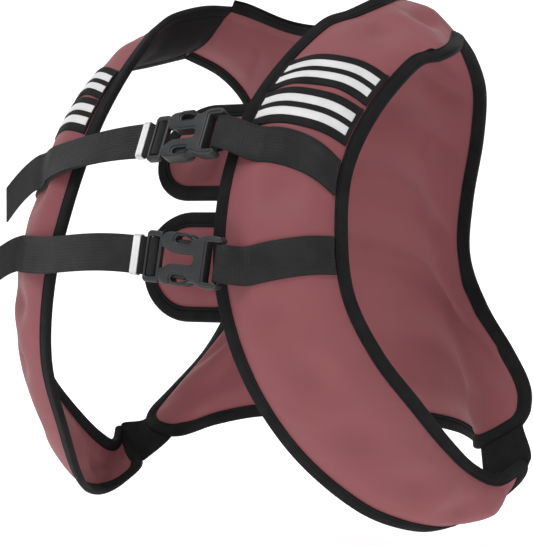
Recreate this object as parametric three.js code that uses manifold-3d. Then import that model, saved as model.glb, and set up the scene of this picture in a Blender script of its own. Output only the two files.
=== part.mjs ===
// A weighted vest for exercise, as it sits on a wearer: two padded front panels that come over the
// shoulders, run down the chest and sweep round the waist, a padded back panel, folded edge binding,
// two buckled chest straps over two soft flaps, reflective tapes, and an elastic link on each side.
// Millimetres, +Z up, +X to the wearer's left, the front faces -Y.
// The origin lies midway between the shoulders, at the height where the straps rest on them.
import * as THREE from 'three';
import { mergeVertices } from 'three/addons/utils/BufferGeometryUtils.js';
import Module from 'manifold-3d';

const wasm = await Module();
wasm.setup();

// Body sizes that the tables below are shares of.
const HALF_WIDTH = 200;
const HALF_DEPTH = 150;
const DROP = 400;

// Padding, cloth and edge binding.
const PAD_THICKNESS = 16;
const PAD_ROLL = 26;
const EDGE_THICKNESS = 3;
const CAMBER = 12;
const SHOULDER_SAG = 5;
const CORNER_RADIUS = 15;
const ARM_LIFT = 10;
const BINDING_WIDTH = 9;
const BINDING_CLOTH = 1;
const LINING_CLOTH = 1;
const GAP = 0.3;
const SEAM_GAP = 0.8;
const FOLD_GAP = 0.7;
const BINDING_ROOM = 1.2;
const LINING_END = 3.4;
const DENT_RADIUS = 24;
const DENT_DEPTH = 4.5;
const CREASE_WIDTH = 13;

// Webbing, tapes and elastic.
const WEB_WIDTH = 28;
const WEB_THICKNESS = 1.6;
const TAPE_WIDTH = 27;
const TAPE_THICKNESS = 1;
const STRIPE_WIDTH = 7;
const STRIPE_THICKNESS = 0.5;
const STRIPE_OFFSET = 6;
const ELASTIC_THICKNESS = 2;
const KEEPER_WIDTH = 6;
const KEEPER_THICKNESS = 1;

// Chest flaps behind the buckles.
const FLAP_HEIGHT = 78;
const FLAP_THICKNESS = 7;
const FLAP_ROLL = 12;
const FLAP_TUCK = 9;
const FLAP_CLEAR = 1.5;

// Side-release buckle: the socket, the plug with its ladder-lock frame, and how far it stands off.
const SOCKET_LENGTH = 50;
const BUCKLE_HEIGHT = 38;
const SOCKET_THICKNESS = 10;
const SHELL_WALL = 2.6;
const SIDE_WALL = 3;
const SLOT_LENGTH = 6;
const BAR_LENGTH = 3.4;
const FRAME_LENGTH = 14;
const FRAME_THICKNESS = 5;
const BUCKLE_STAND_OFF = 12;

const COLOURS = {
  neoprene: { color: 0x8c5057, roughness: 0.85, metalness: 0 },
  black_cloth: { color: 0x1b1b1b, roughness: 0.9, metalness: 0 },
  webbing: { color: 0x26282a, roughness: 0.85, metalness: 0 },
  reflective: { color: 0xe4e4e2, roughness: 0.5, metalness: 0 },
  plastic: { color: 0x2c2e30, roughness: 0.45, metalness: 0 },
};

// The wearer's-left front panel, one row for each station, from the seam behind the shoulder to the
// end at the side: its inner edge (mx, my, mz) and its outer edge (lx, ly, lz), as shares of the sizes.
const FRONT = [
  { mx: 0.44, my: 0.27, mz: 0.083, lx: 0.735, ly: 0.31, lz: -0.008 },
  { mx: 0.49, my: 0.12, mz: 0.082, lx: 0.83, ly: 0.13, lz: -0.028 },
  { mx: 0.53, my: -0.06, mz: 0.063, lx: 0.895, ly: -0.03, lz: -0.043 },
  { mx: 0.5, my: -0.23, mz: 0.035, lx: 0.89, ly: -0.14, lz: -0.058 },
  { mx: 0.445, my: -0.37, mz: 0.01, lx: 0.83, ly: -0.23, lz: -0.075 },
  { mx: 0.4, my: -0.65, mz: -0.083, lx: 0.79, ly: -0.48, lz: -0.167 },
  { mx: 0.38, my: -0.87, mz: -0.187, lx: 0.77, ly: -0.65, lz: -0.272 },
  { mx: 0.39, my: -1.04, mz: -0.327, lx: 0.8, ly: -0.74, lz: -0.385 },
  { mx: 0.435, my: -1.12, mz: -0.482, lx: 0.84, ly: -0.75, lz: -0.497 },
  { mx: 0.51, my: -1.05, mz: -0.64, lx: 0.91, ly: -0.65, lz: -0.6 },
  { mx: 0.595, my: -0.82, mz: -0.783, lx: 0.97, ly: -0.46, lz: -0.69 },
  { mx: 0.725, my: -0.55, mz: -0.888, lx: 0.985, ly: -0.23, lz: -0.77 },
  { mx: 0.83, my: -0.32, mz: -0.93, lx: 0.995, ly: -0.04, lz: -0.822 },
  { mx: 0.88, my: -0.09, mz: -0.932, lx: 1.025, ly: 0.12, lz: -0.842 },
  { mx: 0.875, my: 0.18, mz: -0.883, lx: 1.095, ly: 0.25, lz: -0.802 },
];
const LAST = FRONT.length - 1;

// The back panel's armhole edge on the wearer's left, from the seam down to the arm's end.
const ARMHOLE = [
  { x: 0.735, y: 0.31, z: -0.008 },
  { x: 0.68, y: 0.53, z: -0.045 },
  { x: 0.64, y: 0.69, z: -0.105 },
  { x: 0.59, y: 0.76, z: -0.2 },
  { x: 0.56, y: 0.72, z: -0.325 },
  { x: 0.58, y: 0.66, z: -0.438 },
  { x: 0.68, y: 0.63, z: -0.54 },
  { x: 0.82, y: 0.61, z: -0.635 },
  { x: 0.95, y: 0.52, z: -0.71 },
  { x: 1.02, y: 0.37, z: -0.77 },
];
// The line down the middle of the back, from the neck to the hem.
const SPINE = [
  { x: 0, y: 0.48, z: 0.02 },
  { x: 0, y: 0.61, z: -0.04 },
  { x: 0, y: 0.74, z: -0.13 },
  { x: 0, y: 0.81, z: -0.262 },
  { x: 0, y: 0.8, z: -0.412 },
  { x: 0, y: 0.76, z: -0.562 },
  { x: 0, y: 0.76, z: -0.775 },
];
// The neck edge from the middle out to the seam's inner end, which is the front table's first row.
const NECK = [
  { x: 0, y: 0.48, z: 0.02 },
  { x: 0.13, y: 0.485, z: 0.025 },
  { x: 0.26, y: 0.46, z: 0.04 },
  { x: 0.37, y: 0.38, z: 0.065 },
  { x: FRONT[0].mx, y: FRONT[0].my, z: FRONT[0].mz },
];
// The hem from the middle out to the arm's end.
const HEM = [
  { x: 0, y: 0.76, z: -0.775 },
  { x: 0.27, y: 0.72, z: -0.777 },
  { x: 0.53, y: 0.65, z: -0.785 },
  { x: 0.7, y: 0.51, z: -0.8 },
  { x: 0.8, y: 0.35, z: -0.815 },
  { x: 0.92, y: 0.31, z: -0.8 },
  { x: 1.02, y: 0.37, z: -0.77 },
];
const NECK_SHARE = 0.64;

// Where the padding is tacked through, by station down a front panel and share across it.
const FRONT_DENTS = [
  { station: 1.1, across: 0.5 },
  { station: 3.5, across: 0.5 },
  { station: 5.1, across: 0.5 },
  { station: 6.7, across: 0.5 },
  { station: 8.6, across: 0.4 },
  { station: 9.9, across: 0.44 },
  { station: 11.1, across: 0.5 },
  { station: 12.4, across: 0.5 },
];
// Soft creases across the back panel: how far down the middle they lie, and how far they dip at the edge.
const BACK_CREASES = [
  { down: 0.2, dip: 0.05, depth: 2.2 },
  { down: 0.36, dip: 0.02, depth: 3 },
  { down: 0.52, dip: 0.02, depth: 3 },
  { down: 0.68, dip: 0.2, depth: 3.4 },
];

// Chest straps: the station where each crosses the inner edge, the middle and the outer edge of the left
// panel and of the right one, the buckle's station, how far it laps over the left panel, its turn about
// the vertical and its slope in degrees, the share of the right panel that the tail lies on, and the
// free tail's way out, back and down from there, and how far the flap behind the buckle reaches past
// the panel's edge.
const STRAPS = [
  {
    name: 'upper',
    left: { inner: 6.45, middle: 6.15, outer: 6.3 },
    right: { inner: 6.45, middle: 6.4, outer: 6.35 },
    buckle: 6.25,
    lap: -0.01,
    turn: 3,
    slope: -4,
    laid: 0.52,
    tail: { out: 0.25, back: 0.04, fall: 0.07 },
    flap: 0.39,
  },
  {
    name: 'lower',
    left: { inner: 7.9, middle: 7.62, outer: 7.36 },
    right: { inner: 7.72, middle: 7.6, outer: 7.5 },
    buckle: 7.75,
    lap: 0.06,
    turn: 12,
    slope: 5,
    laid: 0.4,
    tail: { out: 0.25, back: -0.02, fall: 0.065 },
    flap: 0.34,
  },
];
// Reflective tapes across each front panel, by station at the inner edge, middle and outer edge.
const TAPES = [
  { name: 'upper', inner: 5.2, middle: 4.83, outer: 4.72 },
  { name: 'lower', inner: 5.8, middle: 5.5, outer: 5.38 },
];

const PAD_HALF = PAD_THICKNESS / 2;
const EDGE_HALF = EDGE_THICKNESS / 2;
const BINDING_HALF = EDGE_HALF + BINDING_ROOM + BINDING_CLOTH;
const BINDING_CLEAR = BINDING_WIDTH + 4 * GAP;
const ON_CLOTH = 2 * GAP;

const vec = (x, y, z) => new THREE.Vector3(x, y, z);
const sized = (row) => vec(row.x * HALF_WIDTH, row.y * HALF_DEPTH, row.z * DROP);
const clamp = THREE.MathUtils.clamp;
const lerp = THREE.MathUtils.lerp;
const smooth = (x, low, high) => THREE.MathUtils.smoothstep(x, low, high);
const steps = (count) => Array.from({ length: count + 1 }, (_, i) => i / count);

// A smooth curve through a table's points, read by row number.
function tableCurve(points) {
  const curve = new THREE.CatmullRomCurve3(points, false, 'catmullrom', 0.5);
  return (row) => curve.getPoint(clamp(row / (points.length - 1), 0, 1));
}

const innerEdge = tableCurve(FRONT.map((r) => sized({ x: r.mx, y: r.my, z: r.mz })));
const outerEdge = tableCurve(FRONT.map((r) => sized({ x: r.lx, y: r.ly, z: r.lz })));

// Outward camber of a front panel: it sags between its edges over the shoulder and bows out from the
// chest on.
function camberAt(station) {
  return smooth(station, 0, 1) * lerp(-SHOULDER_SAG, CAMBER, smooth(station, 1.5, 6.5));
}

// A point of the left front panel's middle surface, by station and by share across from the inner edge.
function frontMiddle(station, across) {
  const inner = innerEdge(station);
  const outer = outerEdge(station);
  const low = clamp(station - 0.05, 0, LAST - 0.1);
  const along = innerEdge(low + 0.1).add(outerEdge(low + 0.1)).sub(innerEdge(low)).sub(outerEdge(low));
  const chord = outer.clone().sub(inner);
  const outward = along.cross(chord).normalize();
  return inner
    .addScaledVector(chord, across)
    .addScaledVector(outward, camberAt(station) * 4 * across * (1 - across));
}

// The unit normal of a surface of two parameters, from its first and second directions.
function normalOf(surface, a, b, stepA, stepB) {
  const first = surface(a + stepA, b).sub(surface(a - stepA, b));
  const second = surface(a, b + stepB).sub(surface(a, b - stepB));
  return first.cross(second).normalize();
}
function frontNormalAlone(station, across) {
  return normalOf(frontMiddle, clamp(station, 0.06, LAST - 0.06), clamp(across, 0.03, 0.97), 0.05, 0.02);
}

// The back panel's middle surface. Down runs 0 to 1 from neck to hem, across -1 to 1. Each half is a
// section between the spine line and the armhole edge, plus the neck's and the hem's departures from
// such a section, which fade away from them. One arm sits a little higher than the other.
const armholeCurve = tableCurve(ARMHOLE.map(sized));
const spineCurve = tableCurve(SPINE.map(sized));
const neckCurve = tableCurve(NECK.map(sized));
const hemCurve = tableCurve(HEM.map(sized));
function topAt(across) {
  if (across <= NECK_SHARE) return neckCurve((across / NECK_SHARE) * (NECK.length - 1));
  return frontMiddle(0, (across - NECK_SHARE) / (1 - NECK_SHARE));
}
function section(spine, armhole, across) {
  const bow = across * across;
  return vec(lerp(spine.x, armhole.x, across), lerp(spine.y, armhole.y, bow), lerp(spine.z, armhole.z, bow));
}
function backMiddle(down, across) {
  const side = across < 0 ? -1 : 1;
  const t = Math.abs(across);
  const armhole = (share) => armholeCurve(share * (ARMHOLE.length - 1));
  const spine = (share) => spineCurve(share * (SPINE.length - 1));
  const p = section(spine(down), armhole(down), t);
  const neckPart = topAt(t).sub(section(spine(0), armhole(0), t));
  const hemPart = hemCurve(t * (HEM.length - 1)).sub(section(spine(1), armhole(1), t));
  p.addScaledVector(neckPart, (1 - down) ** 3);
  p.addScaledVector(hemPart, down ** 3);
  p.z += side * ARM_LIFT * smooth(t, 0.3, 1) * smooth(down, 0.4, 1);
  return vec(side * p.x, p.y, p.z);
}
function backNormalAlone(down, across) {
  return normalOf(backMiddle, clamp(down, 0.02, 0.98), clamp(across, -0.97, 0.97), 0.02, 0.02).negate();
}

// Where the front meets the back behind the shoulder, both share one normal, so their faces meet flat.
function seamNormal(share) {
  const across = NECK_SHARE + share * (1 - NECK_SHARE);
  return frontNormalAlone(0, share).add(backNormalAlone(0, across)).normalize();
}
const SEAM_BLEND = 30;
function frontNormal(station, across) {
  const own = frontNormalAlone(station, across);
  const blend = 1 - smooth(runAt(station), 0, SEAM_BLEND);
  return blend > 0 ? own.lerp(seamNormal(clamp(across, 0, 1)), blend).normalize() : own;
}
function backNormal(down, across) {
  const own = backNormalAlone(down, across);
  const t = Math.abs(across);
  const blend = (1 - smooth(down, 0, SEAM_BLEND / DROP)) * smooth(t, NECK_SHARE - 0.08, NECK_SHARE + 0.02);
  if (blend <= 0) return own;
  const seam = seamNormal(clamp((t - NECK_SHARE) / (1 - NECK_SHARE), 0, 1));
  if (across < 0) seam.x = -seam.x;
  return own.lerp(seam, blend).normalize();
}

// Distance along the middle of a front panel from the seam to each station.
const RUN_STEPS = 140;
const frontRun = [0];
for (let i = 1; i <= RUN_STEPS; i += 1) {
  const here = frontMiddle((LAST * i) / RUN_STEPS, 0.5);
  const before = frontMiddle((LAST * (i - 1)) / RUN_STEPS, 0.5);
  frontRun.push(frontRun[i - 1] + here.distanceTo(before));
}
const FRONT_LENGTH = frontRun[RUN_STEPS];
function runAt(station) {
  const at = clamp(station / LAST, 0, 1) * RUN_STEPS;
  const low = Math.min(Math.floor(at), RUN_STEPS - 1);
  return lerp(frontRun[low], frontRun[low + 1], at - low);
}
function stationAt(run) {
  const high = frontRun.findIndex((value) => value >= run);
  const low = Math.max(high < 0 ? RUN_STEPS : high, 1) - 1;
  const part = clamp((run - frontRun[low]) / (frontRun[low + 1] - frontRun[low]), 0, 1);
  return ((low + part) * LAST) / RUN_STEPS;
}
const frontWidth = (station) => innerEdge(station).distanceTo(outerEdge(station));

// How far a rounded corner has drawn the side edge in, at a distance from the end edge.
function cornerInset(distance) {
  const left = clamp(CORNER_RADIUS - distance, 0, CORNER_RADIUS);
  return CORNER_RADIUS - Math.sqrt(CORNER_RADIUS ** 2 - left ** 2);
}

function lineLength(points) {
  return points.slice(1).reduce((sum, p, i) => sum + p.distanceTo(points[i]), 0);
}
function distanceToLine(point, line) {
  let best = Infinity;
  for (let i = 0; i + 1 < line.length; i += 1) {
    const along = line[i + 1].clone().sub(line[i]);
    const share = clamp(point.clone().sub(line[i]).dot(along) / along.lengthSq(), 0, 1);
    best = Math.min(best, point.distanceTo(line[i].clone().addScaledVector(along, share)));
  }
  return best;
}

// Rows down a panel: even steps, then the line where the end's binding stops, then the rounded corners.
const CORNER_ROWS = [0, CORNER_RADIUS * 0.06, CORNER_RADIUS * 0.25];
const END_DISTANCES = [...CORNER_ROWS, BINDING_CLEAR, BINDING_CLEAR + PAD_ROLL * 0.22];
const END_REACH = Math.max(CORNER_RADIUS, END_DISTANCES.at(-1) + 2);
const BODY_ROWS = 20;
const frontStations = [
  ...steps(BODY_ROWS).map((x) => stationAt(lerp(SEAM_GAP / 2, FRONT_LENGTH - END_REACH, x))),
  ...END_DISTANCES.map((x) => stationAt(FRONT_LENGTH - x)).reverse(),
];
const frontInset = (station) => cornerInset(FRONT_LENGTH - runAt(station)) / frontWidth(station);

// Rows down the back panel, and how far its outer columns are drawn in at the hem's corners.
const backDownLength = lineLength(steps(24).map((x) => backMiddle(x, 0)));
const neckLine = steps(12).map((x) => backMiddle(0, lerp(0, NECK_SHARE, x)));
function downFromNeck(distance) {
  const samples = steps(6).map((x) => x * NECK_SHARE * 0.9);
  const clear = (down) => Math.min(...samples.map((x) => distanceToLine(backMiddle(down, x), neckLine)));
  let down = 0;
  while (clear(down) < distance) down += 0.004;
  return down;
}
const NECK_ROWS = [BINDING_CLEAR, BINDING_CLEAR + PAD_ROLL * 0.3].map(downFromNeck);
const BACK_BODY = 15;
const backDowns = [
  SEAM_GAP / 2 / DROP,
  NECK_ROWS[0],
  ...steps(BACK_BODY).map((x) => lerp(NECK_ROWS[1], 1 - END_REACH / backDownLength, x)),
  ...END_DISTANCES.map((x) => 1 - x / backDownLength).reverse(),
];
const backRowLength = (down) => lineLength(steps(12).map((x) => backMiddle(down, x)));
const backEdge = (down) => 1 - cornerInset((1 - down) * backDownLength) / backRowLength(down);

// Outlines as lists of surface parameters, to measure distances from.
const frontOutline = [
  ...frontStations.map((s) => [s, frontInset(s)]),
  ...[0.25, 0.5, 0.75].map((x) => [LAST, lerp(frontInset(LAST), 1 - frontInset(LAST), x)]),
  ...frontStations.map((s) => [s, 1 - frontInset(s)]).reverse(),
];
const backOutline = [
  ...backDowns.map((d) => [d, backEdge(d)]),
  ...steps(22).slice(1, -1).map((x) => [1, lerp(backEdge(1), -backEdge(1), x)]),
  ...backDowns.map((d) => [d, -backEdge(d)]).reverse(),
];
const neckOutline = steps(16).map((x) => [0, lerp(-NECK_SHARE, NECK_SHARE, x)]);

const onSurface = (surface, pairs) => pairs.map(([a, b]) => surface(a, b));
const frontEdgeLine = onSurface(frontMiddle, frontOutline);
const backEdgeLines = [onSurface(backMiddle, backOutline), onSurface(backMiddle, neckOutline)];

// Half thickness of padding at a distance from its outline: a thin sewn edge, then a soft swell.
function padHalfAt(distance, fullHalf = PAD_HALF, roll = PAD_ROLL) {
  const share = clamp((distance - BINDING_CLEAR) / roll, 0, 1);
  return EDGE_HALF + (fullHalf - EDGE_HALF) * Math.sin((share * Math.PI) / 2);
}
const frontHalf = (station, across) => padHalfAt(distanceToLine(frontMiddle(station, across), frontEdgeLine));
function backHalf(down, across) {
  const p = backMiddle(down, across);
  return padHalfAt(Math.min(...backEdgeLines.map((line) => distanceToLine(p, line))));
}

// Depth of the tacked dents at a point of a front panel, and of the creases at a point of the back.
function dentAt(point) {
  let depth = 0;
  for (const dent of FRONT_DENTS) {
    const distance = point.distanceTo(frontMiddle(dent.station, dent.across));
    depth += DENT_DEPTH * Math.exp(-2.5 * (distance / DENT_RADIUS) ** 2);
  }
  return depth;
}
function creaseAt(down, across) {
  let depth = 0;
  for (const crease of BACK_CREASES) {
    const line = crease.down + crease.dip * across * across;
    const distance = (down - line) * backDownLength;
    depth += crease.depth * Math.exp(-((distance / CREASE_WIDTH) ** 2));
  }
  return depth;
}

// A point lifted off a front panel's middle surface and its outward normal, mirrored for the right.
function frontPoint(side, station, across, lift) {
  const p = frontMiddle(station, across).addScaledVector(frontNormal(station, across), lift);
  return vec(side * p.x, p.y, p.z);
}
function frontOutward(side, station, across) {
  const n = frontNormal(station, across);
  return vec(side * n.x, n.y, n.z);
}

const group = new THREE.Group();
group.name = 'weighted_vest';
const materials = {};
for (const [name, look] of Object.entries(COLOURS)) {
  materials[name] = new THREE.MeshStandardMaterial(look);
}
function addMesh(name, geometry, material, parent = group) {
  const mesh = new THREE.Mesh(geometry, materials[material]);
  mesh.name = name;
  parent.add(mesh);
  return mesh;
}

// A closed geometry from points and triangles, turned so that its faces point out.
function closedGeometry(points, triangles) {
  let volume = 0;
  for (const [a, b, c] of triangles) {
    volume += points[a].dot(points[b].clone().cross(points[c]));
  }
  const turned = triangles.flatMap(([a, b, c]) => (volume < 0 ? [a, c, b] : [a, b, c]));
  const loose = new THREE.BufferGeometry();
  loose.setAttribute('position', new THREE.Float32BufferAttribute(points.flatMap((p) => p.toArray()), 3));
  loose.setIndex(turned);
  const geometry = mergeVertices(loose, 1e-3);
  const merged = [...geometry.index.array];
  const index = [];
  for (let i = 0; i < merged.length; i += 3) {
    const [a, b, c] = merged.slice(i, i + 3);
    if (a !== b && b !== c && c !== a) index.push(a, b, c);
  }
  geometry.setIndex(index);
  geometry.computeVertexNormals();
  return geometry;
}

// A rectangular grid of outer points and inner points, joined all round into one closed solid.
// Without a far wall, the last column's two faces meet on a line that the grid comes back along.
function slabSolid(outerGrid, innerGrid, farWall = true) {
  const rows = outerGrid.length;
  const columns = outerGrid[0].length;
  const inner = rows * columns;
  const at = (i, j) => i * columns + j;
  const triangles = [];
  const quad = (a, b, c, d) => triangles.push([a, b, c], [a, c, d]);
  for (let i = 0; i + 1 < rows; i += 1) {
    for (let j = 0; j + 1 < columns; j += 1) {
      quad(at(i, j), at(i + 1, j), at(i + 1, j + 1), at(i, j + 1));
      quad(inner + at(i, j), inner + at(i, j + 1), inner + at(i + 1, j + 1), inner + at(i + 1, j));
    }
    const last = columns - 1;
    quad(at(i, 0), inner + at(i, 0), inner + at(i + 1, 0), at(i + 1, 0));
    if (farWall) quad(at(i, last), at(i + 1, last), inner + at(i + 1, last), inner + at(i, last));
  }
  for (let j = 0; j + 1 < columns; j += 1) {
    const last = rows - 1;
    quad(at(0, j), at(0, j + 1), inner + at(0, j + 1), inner + at(0, j));
    quad(at(last, j), inner + at(last, j), inner + at(last, j + 1), at(last, j + 1));
  }
  return closedGeometry([...outerGrid.flat(), ...innerGrid.flat()], triangles);
}

// A slab whose inner face is a grid of {point, normal} cells, at a thickness.
function clothSolid(cells, thickness) {
  const outer = cells.map((row) => row.map((c) => c.point.clone().addScaledVector(c.normal, thickness)));
  return slabSolid(outer, cells.map((row) => row.map((c) => c.point)));
}

// One section polygon carried along a row of frames {centre, inward, normal}, closed by flat ends.
// Each cell is split along its shorter diagonal, so that both faces of a twisted wall bend alike.
function sweptSolid(frames, polygon) {
  const points = frames.flatMap(({ centre, inward, normal }) =>
    polygon.map(([d, h]) => centre.clone().addScaledVector(inward, d).addScaledVector(normal, h)));
  const n = polygon.length;
  const triangles = [];
  for (let i = 0; i + 1 < frames.length; i += 1) {
    for (let k = 0; k < n; k += 1) {
      const a = i * n + k;
      const b = i * n + ((k + 1) % n);
      const across = points[a].distanceTo(points[b + n]) <= points[b].distanceTo(points[a + n]);
      triangles.push(...(across ? [[a, a + n, b + n], [a, b + n, b]] : [[a, a + n, b], [b, a + n, b + n]]));
    }
  }
  const flat = polygon.map(([d, h]) => new THREE.Vector2(d, h));
  const start = (frames.length - 1) * n;
  const turned = THREE.ShapeUtils.isClockWise(flat);
  for (const [a, b, c] of THREE.ShapeUtils.triangulateShape(flat, [])) {
    const [p, q] = turned ? [c, b] : [b, c];
    triangles.push([a, p, q], [start + a, start + q, start + p]);
  }
  return closedGeometry(points, triangles);
}

// The binding's folded section: a cloth wall over the front, round the edge and over the back.
function foldedSection(width = BINDING_WIDTH, edgeHalf = EDGE_HALF) {
  const inside = edgeHalf + BINDING_ROOM;
  const outside = inside + BINDING_CLOTH;
  return [
    [width, inside], [width, outside], [-BINDING_FOLD, inside], [-BINDING_FOLD, -inside],
    [width, -outside], [width, -inside], [-FOLD_GAP, -inside], [-FOLD_GAP, inside],
  ];
}
const BINDING_FOLD = FOLD_GAP + BINDING_CLOTH;

// Columns across a panel: at the sewn edge, where the binding stops, and up the swell. Each is the share
// at which a row has come that far from the outline, walking in from its edge.
const COLUMN_DISTANCES = [BINDING_CLEAR, BINDING_CLEAR + PAD_ROLL * 0.22, BINDING_CLEAR + PAD_ROLL * 0.6];
const COLUMN_LIMITS = [0.48, 0.68, 0.86];
function columnShares(pointAt, line, edge, middle) {
  const stride = (middle - edge) / 160;
  let share = edge;
  return [edge, ...COLUMN_DISTANCES.map((distance, j) => {
    const limit = lerp(edge, middle, COLUMN_LIMITS[j]);
    share += stride;
    while (Math.abs(share - edge) < Math.abs(limit - edge) && distanceToLine(pointAt(share), line) < distance) {
      share += stride;
    }
    return share;
  })];
}
// Nearer an end than its binding is wide, the columns close in evenly on the corners.
function endShares(base, inset, distance) {
  const last = base.length - 1;
  const drawn = CORNER_RADIUS * (1 - distance / BINDING_CLEAR);
  return base.map((x, j) => {
    if (j === 0 || j === last) return inset[j === 0 ? 0 : 1];
    return lerp(x, lerp(inset[2], inset[3], (x - base[0]) / (base[last] - base[0])), drawn / CORNER_RADIUS);
  });
}
const LAST_FULL_ROW = frontStations.length - 1 - CORNER_ROWS.length;
const frontShares = frontStations.map((station) => {
  const near = columnShares((x) => frontMiddle(station, x), frontEdgeLine, frontInset(station), 0.5);
  const far = columnShares((x) => frontMiddle(station, x), frontEdgeLine, 1 - frontInset(station), 0.5);
  return [...near, 0.5, ...far.reverse()];
});
CORNER_ROWS.forEach((distance, k) => {
  const i = frontStations.length - 1 - k;
  const inset = frontInset(frontStations[i]);
  const corner = frontInset(LAST);
  frontShares[i] = endShares(frontShares[LAST_FULL_ROW], [inset, 1 - inset, corner, 1 - corner], distance);
});
// A grid's edges pushed out of its outline by a small distance, in place.
function pushedOut(grid, distance) {
  const push = (point, inner) => point.add(point.clone().sub(inner).setLength(distance));
  for (const row of grid) {
    push(row[0], row[1]);
    push(row.at(-1), row.at(-2));
  }
  grid[0].forEach((point, j) => push(point, grid[1][j]));
  grid.at(-1).forEach((point, j) => push(point, grid.at(-2)[j]));
  return grid;
}
function frontPanel(side, grown = 0) {
  const outer = [];
  const inner = [];
  frontStations.forEach((station, i) => {
    const lifts = frontShares[i].map((x) => {
      const half = frontHalf(station, x);
      return half + grown - dentAt(frontMiddle(station, x)) * smooth(half, EDGE_HALF, PAD_HALF);
    });
    outer.push(frontShares[i].map((x, j) => frontPoint(side, station, x, lifts[j])));
    inner.push(frontShares[i].map((x, j) => frontPoint(side, station, x, -lifts[j])));
  });
  return grown > 0 ? slabSolid(pushedOut(outer, 0.15), pushedOut(inner, 0.15)) : slabSolid(outer, inner);
}
const BACK_MIDDLES = [0.75, 0.5, 0.25];
const LAST_FULL_DOWN = backDowns.length - 1 - CORNER_ROWS.length;
const backShares = backDowns.map((down, i) => {
  const near = columnShares((x) => backMiddle(down, x), backEdgeLines[0], backEdge(down), 0.4);
  if (i === 0) near[near.length - 1] = NECK_SHARE;
  const half = [...near, ...BACK_MIDDLES.map((x) => x * near.at(-1))];
  return [...half.map((x) => -x), 0, ...half.reverse()];
});
CORNER_ROWS.forEach((distance, k) => {
  const i = backDowns.length - 1 - k;
  const edge = backEdge(backDowns[i]);
  const corner = backEdge(1);
  backShares[i] = endShares(backShares[LAST_FULL_DOWN], [-edge, edge, -corner, corner], distance);
});
function backPanel(grown = 0) {
  const outer = [];
  const inner = [];
  backDowns.forEach((down, i) => {
    outer.push([]);
    inner.push([]);
    for (const across of backShares[i]) {
      const p = backMiddle(down, across);
      const n = backNormal(down, across);
      const padHalf = backHalf(down, across);
      const crease = creaseAt(down, across) * smooth(padHalf, EDGE_HALF, PAD_HALF);
      outer.at(-1).push(p.clone().addScaledVector(n, padHalf + grown - crease / 3));
      inner.at(-1).push(p.clone().addScaledVector(n, crease - padHalf - grown));
    }
  });
  return grown > 0 ? slabSolid(pushedOut(outer, 0.15), pushedOut(inner, 0.15)) : slabSolid(outer, inner);
}

function panelNodes() {
  for (const [word, side] of [['left', 1], ['right', -1]]) {
    addMesh(`front_panel_${word}`, frontPanel(side), 'neoprene');
  }
  addMesh('back_panel', backPanel(), 'neoprene');
}

// Bound edges as pairs of surface parameters: each point of the outline, and the panel's own grid point
// that the folded binding reaches in towards.
function edgeRun(rows, shares, lastFull) {
  const end = rows.length - 1;
  const wide = shares[0].length - 1;
  const near = rows.map((r, i) => ({ at: [r, shares[i][0]], to: [rows[Math.min(i, lastFull)], shares[Math.min(i, lastFull)][1]] }));
  const hem = shares[end].slice(1, -1).map((x, j) => ({ at: [rows[end], x], to: [rows[lastFull], shares[lastFull][j + 1]] }));
  const far = rows.map((r, i) => ({
    at: [r, shares[i][wide]],
    to: [rows[Math.min(i, lastFull)], shares[Math.min(i, lastFull)][wide - 1]],
  }));
  return [...near, ...hem, ...far.reverse()];
}
const SEAM_ROOM = 1.2;
// The binding is trimmed to clear the padding by the small gap wherever the padding swells into it: cut
// by the panel grown thicker, and by the panel itself moved by the gap each way.
const TRIM_MOVES = [[0, 0, GAP], [0, 0, -GAP], [0, GAP, 0], [0, -GAP, 0]];
function bindingSolid(run, surface, normalAt, grownPanel, panel) {
  const frames = run.map(({ at, to }) => {
    const centre = surface(...at);
    const inward = surface(...to).sub(centre);
    const reach = inward.length();
    inward.multiplyScalar(Math.min(1, reach / BINDING_CLEAR) / reach);
    const normal = normalAt(...at);
    normal.addScaledVector(inward, -normal.dot(inward) / inward.lengthSq()).normalize();
    return { centre, inward, normal };
  });
  for (const [end, next] of [[frames[0], frames[1]], [frames.at(-1), frames.at(-2)]]) {
    end.centre.lerp(next.centre, SEAM_ROOM / end.centre.distanceTo(next.centre));
  }
  const folded = manifoldOf(sweptSolid(frames, foldedSection())).subtract(manifoldOf(grownPanel));
  const trimmed = TRIM_MOVES.reduce((solid, move) => solid.subtract(manifoldOf(panel).translate(move)), folded);
  return geometryOf(trimmed.simplify(GAP / 6));
}
function bindingNodes() {
  const frontRunPairs = edgeRun(frontStations, frontShares, LAST_FULL_ROW);
  for (const [word, side] of [['left', 1], ['right', -1]]) {
    const surface = (s, x) => frontPoint(side, s, x, 0);
    const normalAt = (s, x) => frontOutward(side, s, x);
    addMesh(`binding_front_${word}`, bindingSolid(frontRunPairs, surface, normalAt, frontPanel(side, GAP), frontPanel(side)), 'black_cloth');
  }
  const hemRun = edgeRun(backDowns, backShares, LAST_FULL_DOWN);
  const first = backShares[0].indexOf(-NECK_SHARE);
  const neckRun = backShares[0].slice(first, -first).map((x, j) => ({
    at: [backDowns[0], x],
    to: [backDowns[1], backShares[1][first + j]],
  }));
  addMesh('binding_back', bindingSolid(hemRun, backMiddle, backNormal, backPanel(GAP), backPanel()), 'black_cloth');
  addMesh('binding_neck', bindingSolid(neckRun, backMiddle, backNormal, backPanel(GAP), backPanel()), 'black_cloth');
}

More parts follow.
